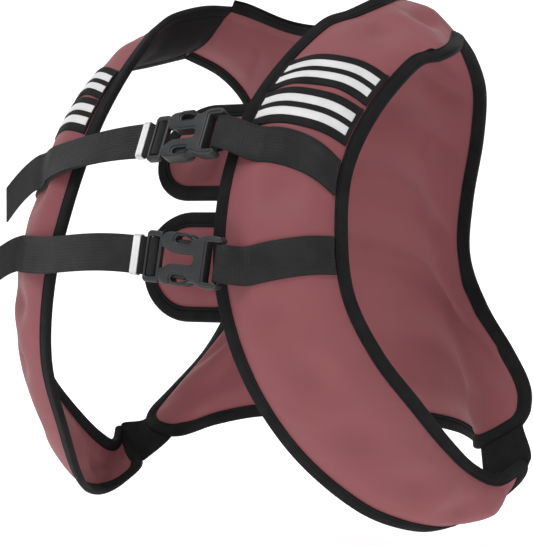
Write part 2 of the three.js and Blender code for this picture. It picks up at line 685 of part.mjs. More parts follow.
// Rows of {point, normal} cells for cloth laid across a front panel. Its station at a share across
// comes from the line's inner, middle and outer stations, and lift is measured from the padding.
function lineStation(line, across) {
  const inner = line.inner * (1 - across) * (1 - 2 * across);
  const middle = line.middle * 4 * across * (1 - across);
  return inner + middle + line.outer * across * (2 * across - 1);
}
function bandRow(side, line, across, offsets, lift) {
  const station = lineStation(line, across);
  const rate = frontMiddle(station + 0.1, across).distanceTo(frontMiddle(station - 0.1, across)) / 0.2;
  return offsets.map((offset) => {
    const at = station + offset / rate;
    const height = Math.max(frontHalf(at, across), BINDING_HALF) + lift;
    return { point: frontPoint(side, at, across, height), normal: frontOutward(side, at, across) };
  });
}
const edgeShare = (line, across) => (BINDING_CLEAR + GAP) / frontWidth(lineStation(line, across));

function liningNodes() {
  for (const [word, side] of [['left', 1], ['right', -1]]) {
    const cells = frontStations.filter((station) => station < LINING_END).map((station, i) => {
      const pull = GAP / frontWidth(station);
      const shares = frontShares[i].slice(1, -1).map((x) => x + pull * Math.sign(0.5 - x));
      return shares.map((x) => ({
        point: frontPoint(side, station, x, -frontHalf(station, x) - ON_CLOTH),
        normal: frontOutward(side, station, x).negate(),
      }));
    });
    addMesh(`shoulder_lining_${word}`, clothSolid(cells, LINING_CLOTH), 'black_cloth');
  }
}

function tapeNodes() {
  const half = TAPE_WIDTH / 2;
  for (const [word, side] of [['left', 1], ['right', -1]]) {
    for (const tape of TAPES) {
      const from = edgeShare(tape, 0);
      const to = 1 - edgeShare(tape, 1);
      const rowAt = (x, offsets, lift) => bandRow(side, tape, lerp(from, to, x), offsets, lift);
      const cloth = steps(8).map((x) => rowAt(x, [-half, 0, half], ON_CLOTH));
      addMesh(`tape_${tape.name}_${word}`, clothSolid(cloth, TAPE_THICKNESS), 'black_cloth');
      for (const [place, sign] of [['top', -1], ['bottom', 1]]) {
        const middle = sign * STRIPE_OFFSET;
        const offsets = [middle - STRIPE_WIDTH / 2, middle + STRIPE_WIDTH / 2];
        const lift = TAPE_THICKNESS + 2 * ON_CLOTH;
        const cells = steps(8).map((x) => rowAt(lerp(0.02, 0.98, x), offsets, lift));
        addMesh(`stripe_${tape.name}_${place}_${word}`, clothSolid(cells, STRIPE_THICKNESS), 'reflective');
      }
    }
  }
}

// How far the chest leans back from upright at a station, in radians.
function leanAt(station) {
  const along = innerEdge(station + 0.4).sub(innerEdge(station - 0.4));
  return Math.atan2(-along.y, -along.z);
}
// A buckle's own axes: away runs from the left panel to the right one, up along the webbing's width,
// outward off the chest. The buckle starts above the left panel's inner edge.
function buckleFrame(strap, slopeAngle = strap.slope) {
  const station = strap.buckle;
  const lap = (strap.lap * HALF_WIDTH) / frontWidth(station);
  const origin = frontPoint(1, station, lap, BINDING_HALF + BUCKLE_STAND_OFF);
  const turn = THREE.MathUtils.degToRad(strap.turn);
  const slope = THREE.MathUtils.degToRad(slopeAngle);
  const lean = leanAt(station);
  const level = vec(-Math.cos(turn), -Math.sin(turn), 0);
  const outward = vec(Math.sin(turn) * Math.cos(lean), -Math.cos(turn) * Math.cos(lean), Math.sin(lean));
  const away = level.applyAxisAngle(outward, -slope);
  const up = away.clone().cross(outward).normalize();
  const at = (u, w, n) => origin.clone().addScaledVector(away, u).addScaledVector(up, w).addScaledVector(outward, n);
  return { origin, away, up, outward, at };
}
// A row of webbing cells at a buckle: tilt turns the face from outward (0) towards away (90 degrees).
function buckleRow(frame, u, n, tilt) {
  const angle = THREE.MathUtils.degToRad(tilt);
  const normal = frame.outward.clone().multiplyScalar(Math.cos(angle)).addScaledVector(frame.away, Math.sin(angle));
  return [-1, 0, 1].map((w) => ({ point: frame.at(u, (-w * WEB_WIDTH) / 2, n), normal: normal.clone() }));
}

// The left straps: sewn across the panel, then over and round the socket's end bar.
const ON_PANEL = 0.3;
function leftStrap(strap, frame) {
  const offsets = [-WEB_WIDTH / 2, 0, WEB_WIDTH / 2];
  const from = 1 - edgeShare(strap.left, 1);
  const rows = steps(7).map((x) => bandRow(1, strap.left, lerp(from, ON_PANEL, x), offsets, ON_CLOTH));
  const bar = BAR_LENGTH / 2;
  const reach = bar + GAP;
  rows.push(buckleRow(frame, 0, reach, 0));
  rows.push(buckleRow(frame, BAR_LENGTH, reach, 0));
  rows.push(buckleRow(frame, BAR_LENGTH + GAP, 0, 90));
  rows.push(buckleRow(frame, BAR_LENGTH, -reach, 180));
  rows.push(buckleRow(frame, -BAR_LENGTH, -reach, 180));
  return clothSolid(rows, WEB_THICKNESS);
}

// The right straps: sewn across the panel, behind the ladder-lock frame, round its bar, back over the
// sewn part through the keeper, and out past the panel as a free tail.
const LOCK_BAR = SOCKET_LENGTH + FRAME_LENGTH * 0.56;
const LOCK_END = SOCKET_LENGTH + FRAME_LENGTH;
const KEEPER_AT = LOCK_END + KEEPER_WIDTH + 2;
function rightStrap(strap, frame) {
  const offsets = [-WEB_WIDTH / 2, 0, WEB_WIDTH / 2];
  const from = 1 - edgeShare(strap.right, 1);
  const under = steps(6).map((x) => bandRow(-1, strap.right, lerp(from, ON_PANEL, x), offsets, ON_CLOTH));
  const bar = BAR_LENGTH / 2;
  const behind = FRAME_THICKNESS / 2 + GAP;
  const turnAt = LOCK_BAR - bar - GAP;
  const rows = [
    ...under,
    buckleRow(frame, KEEPER_AT + KEEPER_WIDTH, -GAP / 2 - WEB_THICKNESS, 0),
    buckleRow(frame, KEEPER_AT - KEEPER_WIDTH / 2, -GAP / 2 - WEB_THICKNESS, 0),
    buckleRow(frame, LOCK_END, -behind - WEB_THICKNESS, 0),
    buckleRow(frame, LOCK_BAR - bar, -behind - WEB_THICKNESS, 0),
    buckleRow(frame, turnAt - WEB_THICKNESS, -behind, 90),
    buckleRow(frame, turnAt - WEB_THICKNESS, behind, 90),
    buckleRow(frame, LOCK_BAR - bar, behind + WEB_THICKNESS, 180),
    buckleRow(frame, LOCK_END, behind + WEB_THICKNESS, 180),
    buckleRow(frame, KEEPER_AT - KEEPER_WIDTH / 2, GAP / 2 + WEB_THICKNESS, 180),
    buckleRow(frame, KEEPER_AT + KEEPER_WIDTH, GAP / 2 + WEB_THICKNESS, 180),
  ];
  const over = 2 * WEB_THICKNESS + ON_CLOTH + GAP;
  const laid = steps(2).map((x) => bandRow(-1, strap.right, lerp(ON_PANEL, strap.laid, x), offsets, over));
  for (const row of laid) rows.push(row.map(({ point, normal }) => ({ point, normal: normal.clone().negate() })));
  const last = rows.at(-1);
  const { out, back, fall } = strap.tail;
  for (const x of [0.2, 0.45, 0.72, 1]) {
    const shift = vec(-out * HALF_WIDTH * x, back * HALF_DEPTH * x, -fall * DROP * x ** 1.5);
    const upright = vec(0, 0, WEB_WIDTH / 2);
    const centre = last[1].point.clone().add(shift);
    const normal = last[1].normal.clone().lerp(vec(0.25, 0.97, 0), x).normalize();
    rows.push([1, 0, -1].map((w, j) => {
      const laidPoint = last[j].point.clone().add(shift);
      return { point: laidPoint.lerp(centre.clone().addScaledVector(upright, w), x), normal: normal.clone() };
    }));
  }
  return clothSolid(rows, WEB_THICKNESS);
}

// Cutting and joining of closed geometries.
function manifoldOf(geometry) {
  const bare = geometry.clone();
  bare.deleteAttribute('normal');
  bare.deleteAttribute('uv');
  const merged = mergeVertices(bare, 1e-4);
  const vertProperties = new Float32Array(merged.attributes.position.array);
  return new wasm.Manifold(new wasm.Mesh({ numProp: 3, vertProperties, triVerts: new Uint32Array(merged.index.array) }));
}
function geometryOf(manifold) {
  const mesh = manifold.getMesh();
  const geometry = new THREE.BufferGeometry();
  geometry.setAttribute('position', new THREE.BufferAttribute(new Float32Array(mesh.vertProperties), 3));
  geometry.setIndex(new THREE.BufferAttribute(new Uint32Array(mesh.triVerts), 1));
  geometry.computeVertexNormals();
  return geometry;
}

// A plate of an outline, centred on its thickness, in a buckle's axes with away along -X.
function plate(outline, thickness) {
  const shape = new THREE.Shape(outline.map(([u, w]) => new THREE.Vector2(-u, w)));
  const geometry = new THREE.ExtrudeGeometry(shape, { depth: thickness, bevelEnabled: false });
  return geometry.translate(0, 0, -thickness / 2);
}
const mirrored = (half) => [...half, ...half.map(([u, w]) => [u, -w]).reverse()];
const rectangle = (u0, u1, w0, w1) => [[u0, w0], [u1, w0], [u1, w1], [u0, w1]];
function rounded(u0, u1, w0, w1, sides = 8) {
  const radius = Math.min(u1 - u0, w1 - w0) / 2;
  const corners = [[u1 - radius, w1 - radius, 0], [u0 + radius, w1 - radius, 1], [u0 + radius, w0 + radius, 2], [u1 - radius, w0 + radius, 3]];
  return corners.flatMap(([u, w, quarter]) => steps(sides / 4).map((x) => {
    const angle = ((quarter + x) * Math.PI) / 2;
    return [u + radius * Math.cos(angle), w + radius * Math.sin(angle)];
  }));
}

// The socket's outline in one half: shares of its length and of its half height, from the webbing end
// over the flare and the waist to the lobe's rounded tip, and in to the open slot.
const SOCKET_OUTLINE = [
  { u: 0, w: 0.88 },
  { u: 0.06, w: 0.98 },
  { u: 0.28, w: 1 },
  { u: 0.36, w: 0.92 },
  { u: 0.46, w: 0.84 },
  { u: 0.52, w: 0.92 },
  { u: 0.6, w: 1 },
  { u: 0.92, w: 0.98 },
  { u: 0.99, w: 0.82 },
  { u: 1, w: 0.6 },
  { u: 0.95, w: 0.44 },
  { u: 0.84, w: 0.36 },
  { u: 0.8, w: 0.22 },
];
function socketSolid() {
  const half = BUCKLE_HEIGHT / 2;
  const outline = mirrored(SOCKET_OUTLINE.map(({ u, w }) => [u * SOCKET_LENGTH, w * half]));
  const room = WEB_WIDTH / 2 + 2 * GAP;
  const cavity = half - SIDE_WALL;
  const cavityStart = BAR_LENGTH + SLOT_LENGTH + SHELL_WALL;
  const through = SOCKET_THICKNESS * 2;
  const slotEnd = SOCKET_LENGTH * 0.83;
  const cuts = [
    plate(rectangle(BAR_LENGTH, BAR_LENGTH + SLOT_LENGTH, -room, room), through),
    plate(rectangle(cavityStart, SOCKET_LENGTH * 1.1, -cavity, cavity), SOCKET_THICKNESS - 2 * SHELL_WALL),
    plate(rounded(SOCKET_LENGTH * 0.42, slotEnd, -half * 0.2, half * 0.2), through),
    plate(rounded(SOCKET_LENGTH * 0.5, SOCKET_LENGTH * 0.74, half * 0.62, half * 0.88), through),
    plate(rounded(SOCKET_LENGTH * 0.5, SOCKET_LENGTH * 0.74, -half * 0.88, -half * 0.62), through),
    plate(rectangle(-BAR_LENGTH, BAR_LENGTH, -room, room), SOCKET_THICKNESS).translate(0, 0, SOCKET_THICKNESS / 2 + BAR_LENGTH / 2),
    plate(rectangle(-BAR_LENGTH, BAR_LENGTH, -room, room), SOCKET_THICKNESS).translate(0, 0, -SOCKET_THICKNESS / 2 - BAR_LENGTH / 2),
  ];
  return cuts.reduce((solid, cutter) => solid.subtract(manifoldOf(cutter)), manifoldOf(plate(outline, SOCKET_THICKNESS)));
}
function plugSolid() {
  const half = BUCKLE_HEIGHT / 2;
  const room = WEB_WIDTH / 2 + 2 * GAP;
  const start = SOCKET_LENGTH + GAP;
  const bar = BAR_LENGTH / 2;
  const prongThickness = SOCKET_THICKNESS - 2 * SHELL_WALL - 2 * GAP;
  const prongRoot = start + BAR_LENGTH / 2;
  const frame = manifoldOf(plate(rounded(start, LOCK_END, -half, half).map(([u, w]) => [u, w]), FRAME_THICKNESS));
  const cuts = [
    plate(rectangle(start + BAR_LENGTH, LOCK_BAR - bar, -room, room), FRAME_THICKNESS * 2),
    plate(rectangle(LOCK_BAR + bar, LOCK_END - BAR_LENGTH * 0.6, -room, room), FRAME_THICKNESS * 2),
  ];
  const body = cuts.reduce((solid, cutter) => solid.subtract(manifoldOf(cutter)), frame);
  return [1, -1].reduce((solid, sign) => {
    const prong = [
      [prongRoot, 0.42], [SOCKET_LENGTH * 0.72, 0.3], [SOCKET_LENGTH * 0.34, 0.5], [SOCKET_LENGTH * 0.32, 0.66],
      [SOCKET_LENGTH * 0.6, 0.74], [SOCKET_LENGTH * 0.9, 0.7], [prongRoot, 0.62],
    ];
    return solid.add(manifoldOf(plate(prong.map(([u, w]) => [u, sign * w * half]), prongThickness)));
  }, body);
}
function keeperSolid() {
  const outerW = WEB_WIDTH / 2 + GAP + KEEPER_THICKNESS;
  const room = WEB_THICKNESS + GAP * 1.5;
  const from = KEEPER_AT - KEEPER_WIDTH / 2;
  const ring = manifoldOf(plate(rectangle(from, from + KEEPER_WIDTH, -outerW, outerW), 2 * (room + KEEPER_THICKNESS)));
  const inside = WEB_WIDTH / 2 + GAP;
  return ring.subtract(manifoldOf(plate(rectangle(from - 1, from + KEEPER_WIDTH + 1, -inside, inside), 2 * room)));
}
function placed(mesh, frame) {
  const turn = new THREE.Matrix4().makeBasis(frame.away.clone().negate(), frame.up, frame.outward);
  mesh.setRotationFromMatrix(turn);
  mesh.position.copy(frame.origin);
}

function strapNodes() {
  for (const strap of STRAPS) {
    const frame = buckleFrame(strap);
    addMesh(`webbing_${strap.name}_left`, leftStrap(strap, frame), 'webbing');
    addMesh(`webbing_${strap.name}_right`, rightStrap(strap, frame), 'webbing');
    placed(addMesh(`buckle_socket_${strap.name}`, geometryOf(socketSolid()), 'plastic'), frame);
    placed(addMesh(`buckle_plug_${strap.name}`, geometryOf(plugSolid()), 'plastic'), frame);
    placed(addMesh(`keeper_${strap.name}`, geometryOf(keeperSolid()), 'reflective'), frame);
  }
}

// A chest flap: a padded tongue with a half-round tip, tucked behind the left panel's inner edge, and
// the binding round it. Its grid runs along the outline and in from it to the tongue's middle line.
const FLAP_STRAIGHT = [0, 0.35, 0.7, 1];
const FLAP_TIP = [15, 30, 45, 60, 75];
function flapEdge(half, tipStart) {
  const tip = (x) => [
    tipStart + half * Math.sin(THREE.MathUtils.degToRad(x)),
    half * Math.cos(THREE.MathUtils.degToRad(x)),
  ];
  return [
    ...FLAP_STRAIGHT.map((x) => [x * tipStart, half]),
    ...FLAP_TIP.map(tip),
    tip(90),
    ...FLAP_TIP.map((x) => tip(180 - x)).reverse(),
    ...FLAP_STRAIGHT.map((x) => [x * tipStart, -half]).reverse(),
  ];
}
function flapNodes() {
  const half = FLAP_HEIGHT / 2;
  const depths = [0, BINDING_CLEAR, BINDING_CLEAR + FLAP_ROLL * 0.4, BINDING_CLEAR + FLAP_ROLL, half];
  for (const strap of STRAPS) {
    const { away, outward, up } = buckleFrame(strap, 0);
    const home = frontPoint(1, strap.buckle, 0, 0);
    const at = flapSurface(strap, home, { away, outward, up });
    const tipStart = FLAP_TUCK + strap.flap * HALF_WIDTH - half;
    const inFrom = ([u, w], x) => at(lerp(u, Math.min(u, tipStart), x / half), lerp(w, 0, x / half));
    const rows = flapEdge(half, tipStart).map((point) => depths.map((x) => inFrom(point, x)));
    const faces = [1, -1].map((sign) => rows.map((row) => row.map((p, j) => {
      const lift = padHalfAt(depths[j], FLAP_THICKNESS / 2, FLAP_ROLL);
      return p.clone().addScaledVector(outward, sign * lift);
    })));
    addMesh(`chest_flap_${strap.name}`, slabSolid(...faces, false), 'neoprene');
    const frames = rows.map((row) => ({ centre: row[0], inward: row[1].clone().sub(row[0]).normalize(), normal: outward }));
    addMesh(`binding_flap_${strap.name}`, sweptSolid(frames, foldedSection()), 'black_cloth');
  }
}
// The flap's middle surface: flat, and set back so that all of the tucked stretch clears the panel.
function flapSurface(strap, home, { away, outward, up }) {
  const rate = innerEdge(strap.buckle + 0.2).distanceTo(innerEdge(strap.buckle - 0.2)) / 0.4;
  const half = FLAP_HEIGHT / 2;
  const depths = steps(6).flatMap((y) => steps(3).map((x) => {
    const station = strap.buckle - lerp(-half, half, y) / rate;
    const edgeAway = frontPoint(1, station, 0, 0).sub(home).dot(away);
    const share = Math.max(FLAP_TUCK + edgeAway, 0) * x / frontWidth(station);
    const behind = Math.max(frontHalf(station, share), BINDING_HALF) + BINDING_HALF + FLAP_CLEAR;
    return frontPoint(1, station, share, -behind).sub(home).dot(outward);
  }));
  const depth = Math.min(...depths);
  return (u, w) => home.clone().addScaledVector(away, u - FLAP_TUCK).addScaledVector(up, w).addScaledVector(outward, depth);
}

// The elastic on each side, from the front panel's end binding to the back arm's end binding.
const ELASTIC_FRONT = [0.19, 0.34, 0.5, 0.66, 0.77];
const ELASTIC_REACH = [1.4, 1.2, 1.2, 1.5, 1.8];
const ELASTIC_BACK = [0.735, 0.785, 0.84, 0.895, 0.945];
function elasticNodes() {
  const endPairs = frontOutline.filter(([s]) => s > stationAt(FRONT_LENGTH - END_REACH));
  const stationOfEnd = (across) => {
    const high = Math.max(endPairs.findIndex(([, x]) => x >= across), 1);
    const [[s0, x0], [s1, x1]] = [endPairs[high - 1], endPairs[high]];
    return lerp(s0, s1, (across - x0) / (x1 - x0));
  };
  for (const [word, side] of [['left', 1], ['right', -1]]) {
    const columns = ELASTIC_FRONT.map((across, j) => {
      const station = stationOfEnd(across);
      const reach = ELASTIC_REACH[j] * (BINDING_FOLD + 3 * GAP);
      const frontEnd = frontPoint(side, station, across, 0);
      const beyondFront = frontEnd.clone().sub(frontPoint(side, station - 0.1, across, 0)).normalize();
      const backShare = side * ELASTIC_BACK[j] * backEdge(1);
      const backEnd = backMiddle(1, backShare);
      const beyondBack = backEnd.clone().sub(backMiddle(0.97, backShare)).normalize();
      return new THREE.CubicBezierCurve3(
        frontEnd.clone().addScaledVector(beyondFront, reach),
        frontEnd.clone().addScaledVector(beyondFront, reach * 4),
        backEnd.clone().addScaledVector(beyondBack, reach * 4),
        backEnd.clone().addScaledVector(beyondBack, reach),
      ).getPoints(4);
    });
    const rows = columns[0].map((_, i) => columns.map((column) => column[i]));
    const cells = rows.map((row, i) => {
      const across = row.at(-1).clone().sub(row[0]);
      const middle = (row.length - 1) / 2;
      const along = (rows[i + 1] ?? row)[middle].clone().sub((rows[i - 1] ?? row)[middle]);
      const normal = along.cross(across).normalize();
      return row.map((point) => ({ point: point.clone().addScaledVector(normal, -ELASTIC_THICKNESS / 2), normal }));
    });
    addMesh(`side_elastic_${word}`, clothSolid(cells, ELASTIC_THICKNESS), 'black_cloth');
  }
}

panelNodes();
bindingNodes();
liningNodes();
tapeNodes();
strapNodes();
flapNodes();
elasticNodes();

export default group;
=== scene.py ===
"""A weighted vest in its worn form, drawn around its solids, in metres.

Each panel is a surface P(s, x) between two edge curves, bowed between them, and its skin lies at
P + N * lift, where N is the surface's normal. The lift is half the padding's thickness: a thin sewn edge,
then a quarter sine wave up to the full pad, less the dents and creases, which are bell curves.
Flat webbing and tapes are narrow grids laid at a height over the same surface, and every folded edge
binding is one section carried along an outline, bent to follow the surface under it.
"""
import math

import bmesh
import bpy
import numpy as np
from mathutils import Matrix, Vector


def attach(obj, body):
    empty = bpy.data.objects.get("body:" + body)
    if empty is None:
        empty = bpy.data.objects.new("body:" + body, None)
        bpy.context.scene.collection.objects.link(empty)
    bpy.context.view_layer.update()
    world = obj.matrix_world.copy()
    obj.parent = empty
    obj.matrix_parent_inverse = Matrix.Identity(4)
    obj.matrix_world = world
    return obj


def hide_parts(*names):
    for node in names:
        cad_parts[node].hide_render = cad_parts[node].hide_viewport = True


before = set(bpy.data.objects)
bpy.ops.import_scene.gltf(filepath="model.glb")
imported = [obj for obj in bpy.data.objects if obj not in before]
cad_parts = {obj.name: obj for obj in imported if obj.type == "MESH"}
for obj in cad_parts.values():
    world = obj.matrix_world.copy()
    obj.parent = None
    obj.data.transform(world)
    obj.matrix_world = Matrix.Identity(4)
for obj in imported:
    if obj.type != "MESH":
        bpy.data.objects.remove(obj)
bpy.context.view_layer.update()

# Camera
# It looks at the vest's middle from its left front, a little above level, through a long lens, and its
# frame is shifted a little to put the vest where the photo has it.
CAMERA_TURN = math.radians(41.3)
CAMERA_RISE = math.radians(1.4)
CAMERA_DISTANCE = 1.822
LENS = 150.5
LENS_SHIFT_X = 0.0075
LENS_SHIFT_Y = -0.0028
LOOK_AT = Vector((0.0, -0.020, -0.185))


def add_object(name, data):
    """A new object of the data, linked to the scene."""
    made = bpy.data.objects.new(name, data)
    bpy.context.scene.collection.objects.link(made)
    return made


toward_camera = Vector((
    math.sin(CAMERA_TURN) * math.cos(CAMERA_RISE),
    -math.cos(CAMERA_TURN) * math.cos(CAMERA_RISE),
    math.sin(CAMERA_RISE),
))
camera_data = bpy.data.cameras.new("camera")
camera_data.lens = LENS
camera_data.shift_x = LENS_SHIFT_X
camera_data.shift_y = LENS_SHIFT_Y
camera = add_object("camera", camera_data)
camera.location = LOOK_AT + toward_camera * CAMERA_DISTANCE
camera.rotation_euler = toward_camera.to_track_quat("Z", "Y").to_euler()
bpy.context.scene.camera = camera
bpy.context.scene.view_settings.view_transform = "Standard"

# Front panels
# Each is a pad of iron sand between two layers of neoprene, sewn thin along its edges. It comes over the
# shoulder, runs down the chest and sweeps round the waist, and is tacked through along its middle.
HALF_WIDTH = 0.200
HALF_DEPTH = 0.150
DROP = 0.400
PAD_HALF = 0.008
EDGE_HALF = 0.0015
PAD_ROLL = 0.026
CAMBER = 0.012
SHOULDER_SAG = 0.005
CAMBER_FROM = 1.5
CAMBER_FULL = 6.5
STATION_STEP = 0.1
EDGE_MARGIN = 0.03
STATION_MARGIN = 0.06
DOWN_MARGIN = 0.02
CORNER_RADIUS = 0.015
BINDING_WIDTH = 0.009
BINDING_CLEAR = 0.0098
SEAM_BLEND = 0.030
SEAM_GROOVE = 0.0016
SEAM_GROOVE_WIDTH = 0.0035
DENT_RADIUS = 0.024
DENT_DEPTH = 0.0066
DENT_SHARPNESS = 2.5
INNER_DENT_SHARE = 0.7
WAVE_HEIGHT = 0.00045
LUMP_HEIGHT = 0.0014
PUCKER_HEIGHT = 0.00035
PUCKER_LENGTH = 0.017
PUCKER_FADE = 0.007
PUCKER_FULL = 0.012
PUCKER_WANDER = 1.5
SHORTEST_RIPPLE = 0.022
LONGEST_RIPPLE = 0.060
SAME_PLACE = 1e-6
SIZES = np.array([HALF_WIDTH, HALF_DEPTH, DROP])
# One row for each station from the shoulder seam to the side end: inner edge x, y, z, outer edge x, y, z.
FRONT = np.array([
    [0.440, 0.27, 0.083, 0.735, 0.31, -0.008],
    [0.490, 0.12, 0.082, 0.830, 0.13, -0.028],
    [0.530, -0.06, 0.063, 0.895, -0.03, -0.043],
    [0.500, -0.23, 0.035, 0.890, -0.14, -0.058],
    [0.445, -0.37, 0.010, 0.830, -0.23, -0.075],
    [0.400, -0.65, -0.083, 0.790, -0.48, -0.167],
    [0.380, -0.87, -0.187, 0.770, -0.65, -0.272],
    [0.390, -1.04, -0.327, 0.800, -0.74, -0.385],
    [0.435, -1.12, -0.482, 0.840, -0.75, -0.497],
    [0.510, -1.05, -0.640, 0.910, -0.65, -0.600],
    [0.595, -0.82, -0.783, 0.970, -0.46, -0.690],
    [0.725, -0.55, -0.888, 0.985, -0.23, -0.770],
    [0.830, -0.32, -0.930, 0.995, -0.04, -0.822],
    [0.880, -0.09, -0.932, 1.025, 0.12, -0.842],
    [0.875, 0.18, -0.883, 1.095, 0.25, -0.802],
])
LAST = len(FRONT) - 1.0
LUMPS_FROM = LAST - 4.5
LUMPS_FULL = LAST - 2
INNER_EDGE = FRONT[:, :3] * SIZES
OUTER_EDGE = FRONT[:, 3:] * SIZES
# Where the padding is tacked through: station, share across.
FRONT_DENTS = np.array([
    [1.1, 0.5], [3.5, 0.5], [6.7, 0.5], [8.3, 0.43], [9.1, 0.47], [10.0, 0.54], [11.1, 0.5], [12.4, 0.5],
])
# The back panel's edges, as shares of the sizes: the armhole from the seam to the arm's end, the spine
# from neck to hem, the neck from the middle to the seam, and the hem from the middle to the arm's end.
ARMHOLE = SIZES * np.array([
    [0.735, 0.31, -0.008], [0.68, 0.53, -0.045], [0.64, 0.69, -0.105], [0.59, 0.76, -0.2],
    [0.56, 0.72, -0.325], [0.58, 0.66, -0.438], [0.68, 0.63, -0.54], [0.82, 0.61, -0.635],
    [0.95, 0.52, -0.71], [1.02, 0.37, -0.77],
])
SPINE = SIZES * np.array([
    [0, 0.48, 0.02], [0, 0.61, -0.04], [0, 0.74, -0.13], [0, 0.81, -0.262], [0, 0.8, -0.412],
    [0, 0.76, -0.562], [0, 0.76, -0.775],
])
NECK = SIZES * np.array([
    [0, 0.48, 0.02], [0.13, 0.485, 0.025], [0.26, 0.46, 0.04], [0.37, 0.38, 0.065], [0.44, 0.27, 0.083],
])
HEM = SIZES * np.array([
    [0, 0.76, -0.775], [0.27, 0.72, -0.777], [0.53, 0.65, -0.785], [0.7, 0.51, -0.8],
    [0.8, 0.35, -0.815], [0.92, 0.31, -0.8], [1.02, 0.37, -0.77],
])
NECK_SHARE = 0.64
ARM_LIFT = 0.010
ARM_FROM_SPINE = 0.3
ARM_FROM_NECK = 0.4


def unit(vectors):
    """Each vector divided by its length."""
    return vectors / np.linalg.norm(vectors, axis=-1, keepdims=True)


def ramp(value, low, high):
    """0 below low, 1 above high, and 3t^2 - 2t^3 between them."""
    t = np.clip((value - low) / (high - low), 0, 1)
    return t * t * (3 - 2 * t)


def curve_at(points, row):
    """The smooth curve through the points, read by row number: a cubic from each row to the next, with
    slopes of half the span of the neighbours, going straight on past the ends."""
    longer = np.concatenate([[2 * points[0] - points[1]], points, [2 * points[-1] - points[-2]]])
    row = np.clip(row, 0, len(points) - 1)
    i = np.minimum(row.astype(int), len(points) - 2)
    t = (row - i)[..., None]
    a, b, c, d = longer[i], longer[i + 1], longer[i + 2], longer[i + 3]
    return 0.5 * (2 * b + (c - a) * t + (2 * a - 5 * b + 4 * c - d) * t**2 + (3 * b - a - 3 * c + d) * t**3)


def front_middle(s, x):
    """Inner edge + x * chord + outward * camber * 4x(1 - x), where outward is along cross chord."""
    inner = curve_at(INNER_EDGE, s)
    chord = curve_at(OUTER_EDGE, s) - inner
    low = np.clip(s - STATION_STEP / 2, 0, LAST - STATION_STEP)
    along = curve_at(INNER_EDGE, low + STATION_STEP) + curve_at(OUTER_EDGE, low + STATION_STEP)
    along = along - curve_at(INNER_EDGE, low) - curve_at(OUTER_EDGE, low)
    camber = ramp(s, 0, 1) * (-SHOULDER_SAG + (CAMBER + SHOULDER_SAG) * ramp(s, CAMBER_FROM, CAMBER_FULL))
    bow = (camber * 4 * x * (1 - x))[..., None]
    return inner + chord * x[..., None] + unit(np.cross(along, chord)) * bow


def normal_of(surface, a, b, step_a, step_b):
    """Unit cross product of the surface's two central differences."""
    first = surface(a + step_a, b) - surface(a - step_a, b)
    second = surface(a, b + step_b) - surface(a, b - step_b)
    return unit(np.cross(first, second))


def section(spine, armhole, across):
    """From the spine point to the armhole point: x as the share, y and z as its square."""
    share = np.stack([across, across**2, across**2], -1)
    return spine + (armhole - spine) * share


def back_middle(down, across):
    """The spine-to-armhole section, plus the neck's and the hem's departures from it, fading with the
    cube of the distance. One arm sits a little higher than the other."""
    t = np.abs(across)
    p = section(curve_at(SPINE, down * (len(SPINE) - 1)), curve_at(ARMHOLE, down * (len(ARMHOLE) - 1)), t)
    seam = front_middle(np.zeros_like(t), np.clip((t - NECK_SHARE) / (1 - NECK_SHARE), 0, 1))
    neck = curve_at(NECK, t / NECK_SHARE * (len(NECK) - 1))
    top = np.where((t <= NECK_SHARE)[..., None], neck, seam)
    p = p + (top - section(SPINE[0], ARMHOLE[0], t)) * ((1 - down)**3)[..., None]
    hem = curve_at(HEM, t * (len(HEM) - 1))
    p = p + (hem - section(SPINE[-1], ARMHOLE[-1], t)) * (down**3)[..., None]
    side = np.where(across < 0, -1.0, 1.0)
    lift = side * ARM_LIFT * ramp(t, ARM_FROM_SPINE, 1) * ramp(down, ARM_FROM_NECK, 1)
    return np.stack([side * p[..., 0], p[..., 1], p[..., 2] + lift], -1)


def front_normal_alone(s, x):
    """The front panel's own normal, read a little inside its edges."""
    inside_s = np.clip(s, STATION_MARGIN, LAST - STATION_MARGIN)
    inside_x = np.clip(x, EDGE_MARGIN, 1 - EDGE_MARGIN)
    return normal_of(front_middle, inside_s, inside_x, step_a=0.05, step_b=0.02)


def back_normal_alone(down, across):
    """The back panel's own normal, turned outward."""
    inside_down = np.clip(down, DOWN_MARGIN, 1 - DOWN_MARGIN)
    inside_across = np.clip(across, EDGE_MARGIN - 1, 1 - EDGE_MARGIN)
    return -normal_of(back_middle, inside_down, inside_across, step_a=0.02, step_b=0.02)


def seam_normal(share):
    """The mean of both panels' normals along the shoulder seam."""
    own = front_normal_alone(np.zeros_like(share), share)
    return unit(own + back_normal_alone(np.zeros_like(share), NECK_SHARE + share * (1 - NECK_SHARE)))


def lengths_along(points):
    """The distance from the first point to each of them, along the line."""
    return np.concatenate([[0], np.cumsum(np.linalg.norm(np.diff(points, axis=0), axis=1))])


run_rows = np.linspace(0, LAST, 281)
run_lengths = lengths_along(front_middle(run_rows, np.full_like(run_rows, 0.5)))
FRONT_LENGTH = run_lengths[-1]


def run_at(s):
    """Distance down the panel's middle to a station."""
    return np.interp(s, run_rows, run_lengths)


def station_at(run):
    """The station at a distance down the panel's middle."""
    return np.interp(run, run_lengths, run_rows)


def front_normal(s, x):
    """The panel's own normal, turning into the seam's over its first stretch."""
    blend = (1 - ramp(run_at(s), 0, SEAM_BLEND))[..., None]
    return unit(front_normal_alone(s, x) * (1 - blend) + seam_normal(np.clip(x, 0, 1)) * blend)


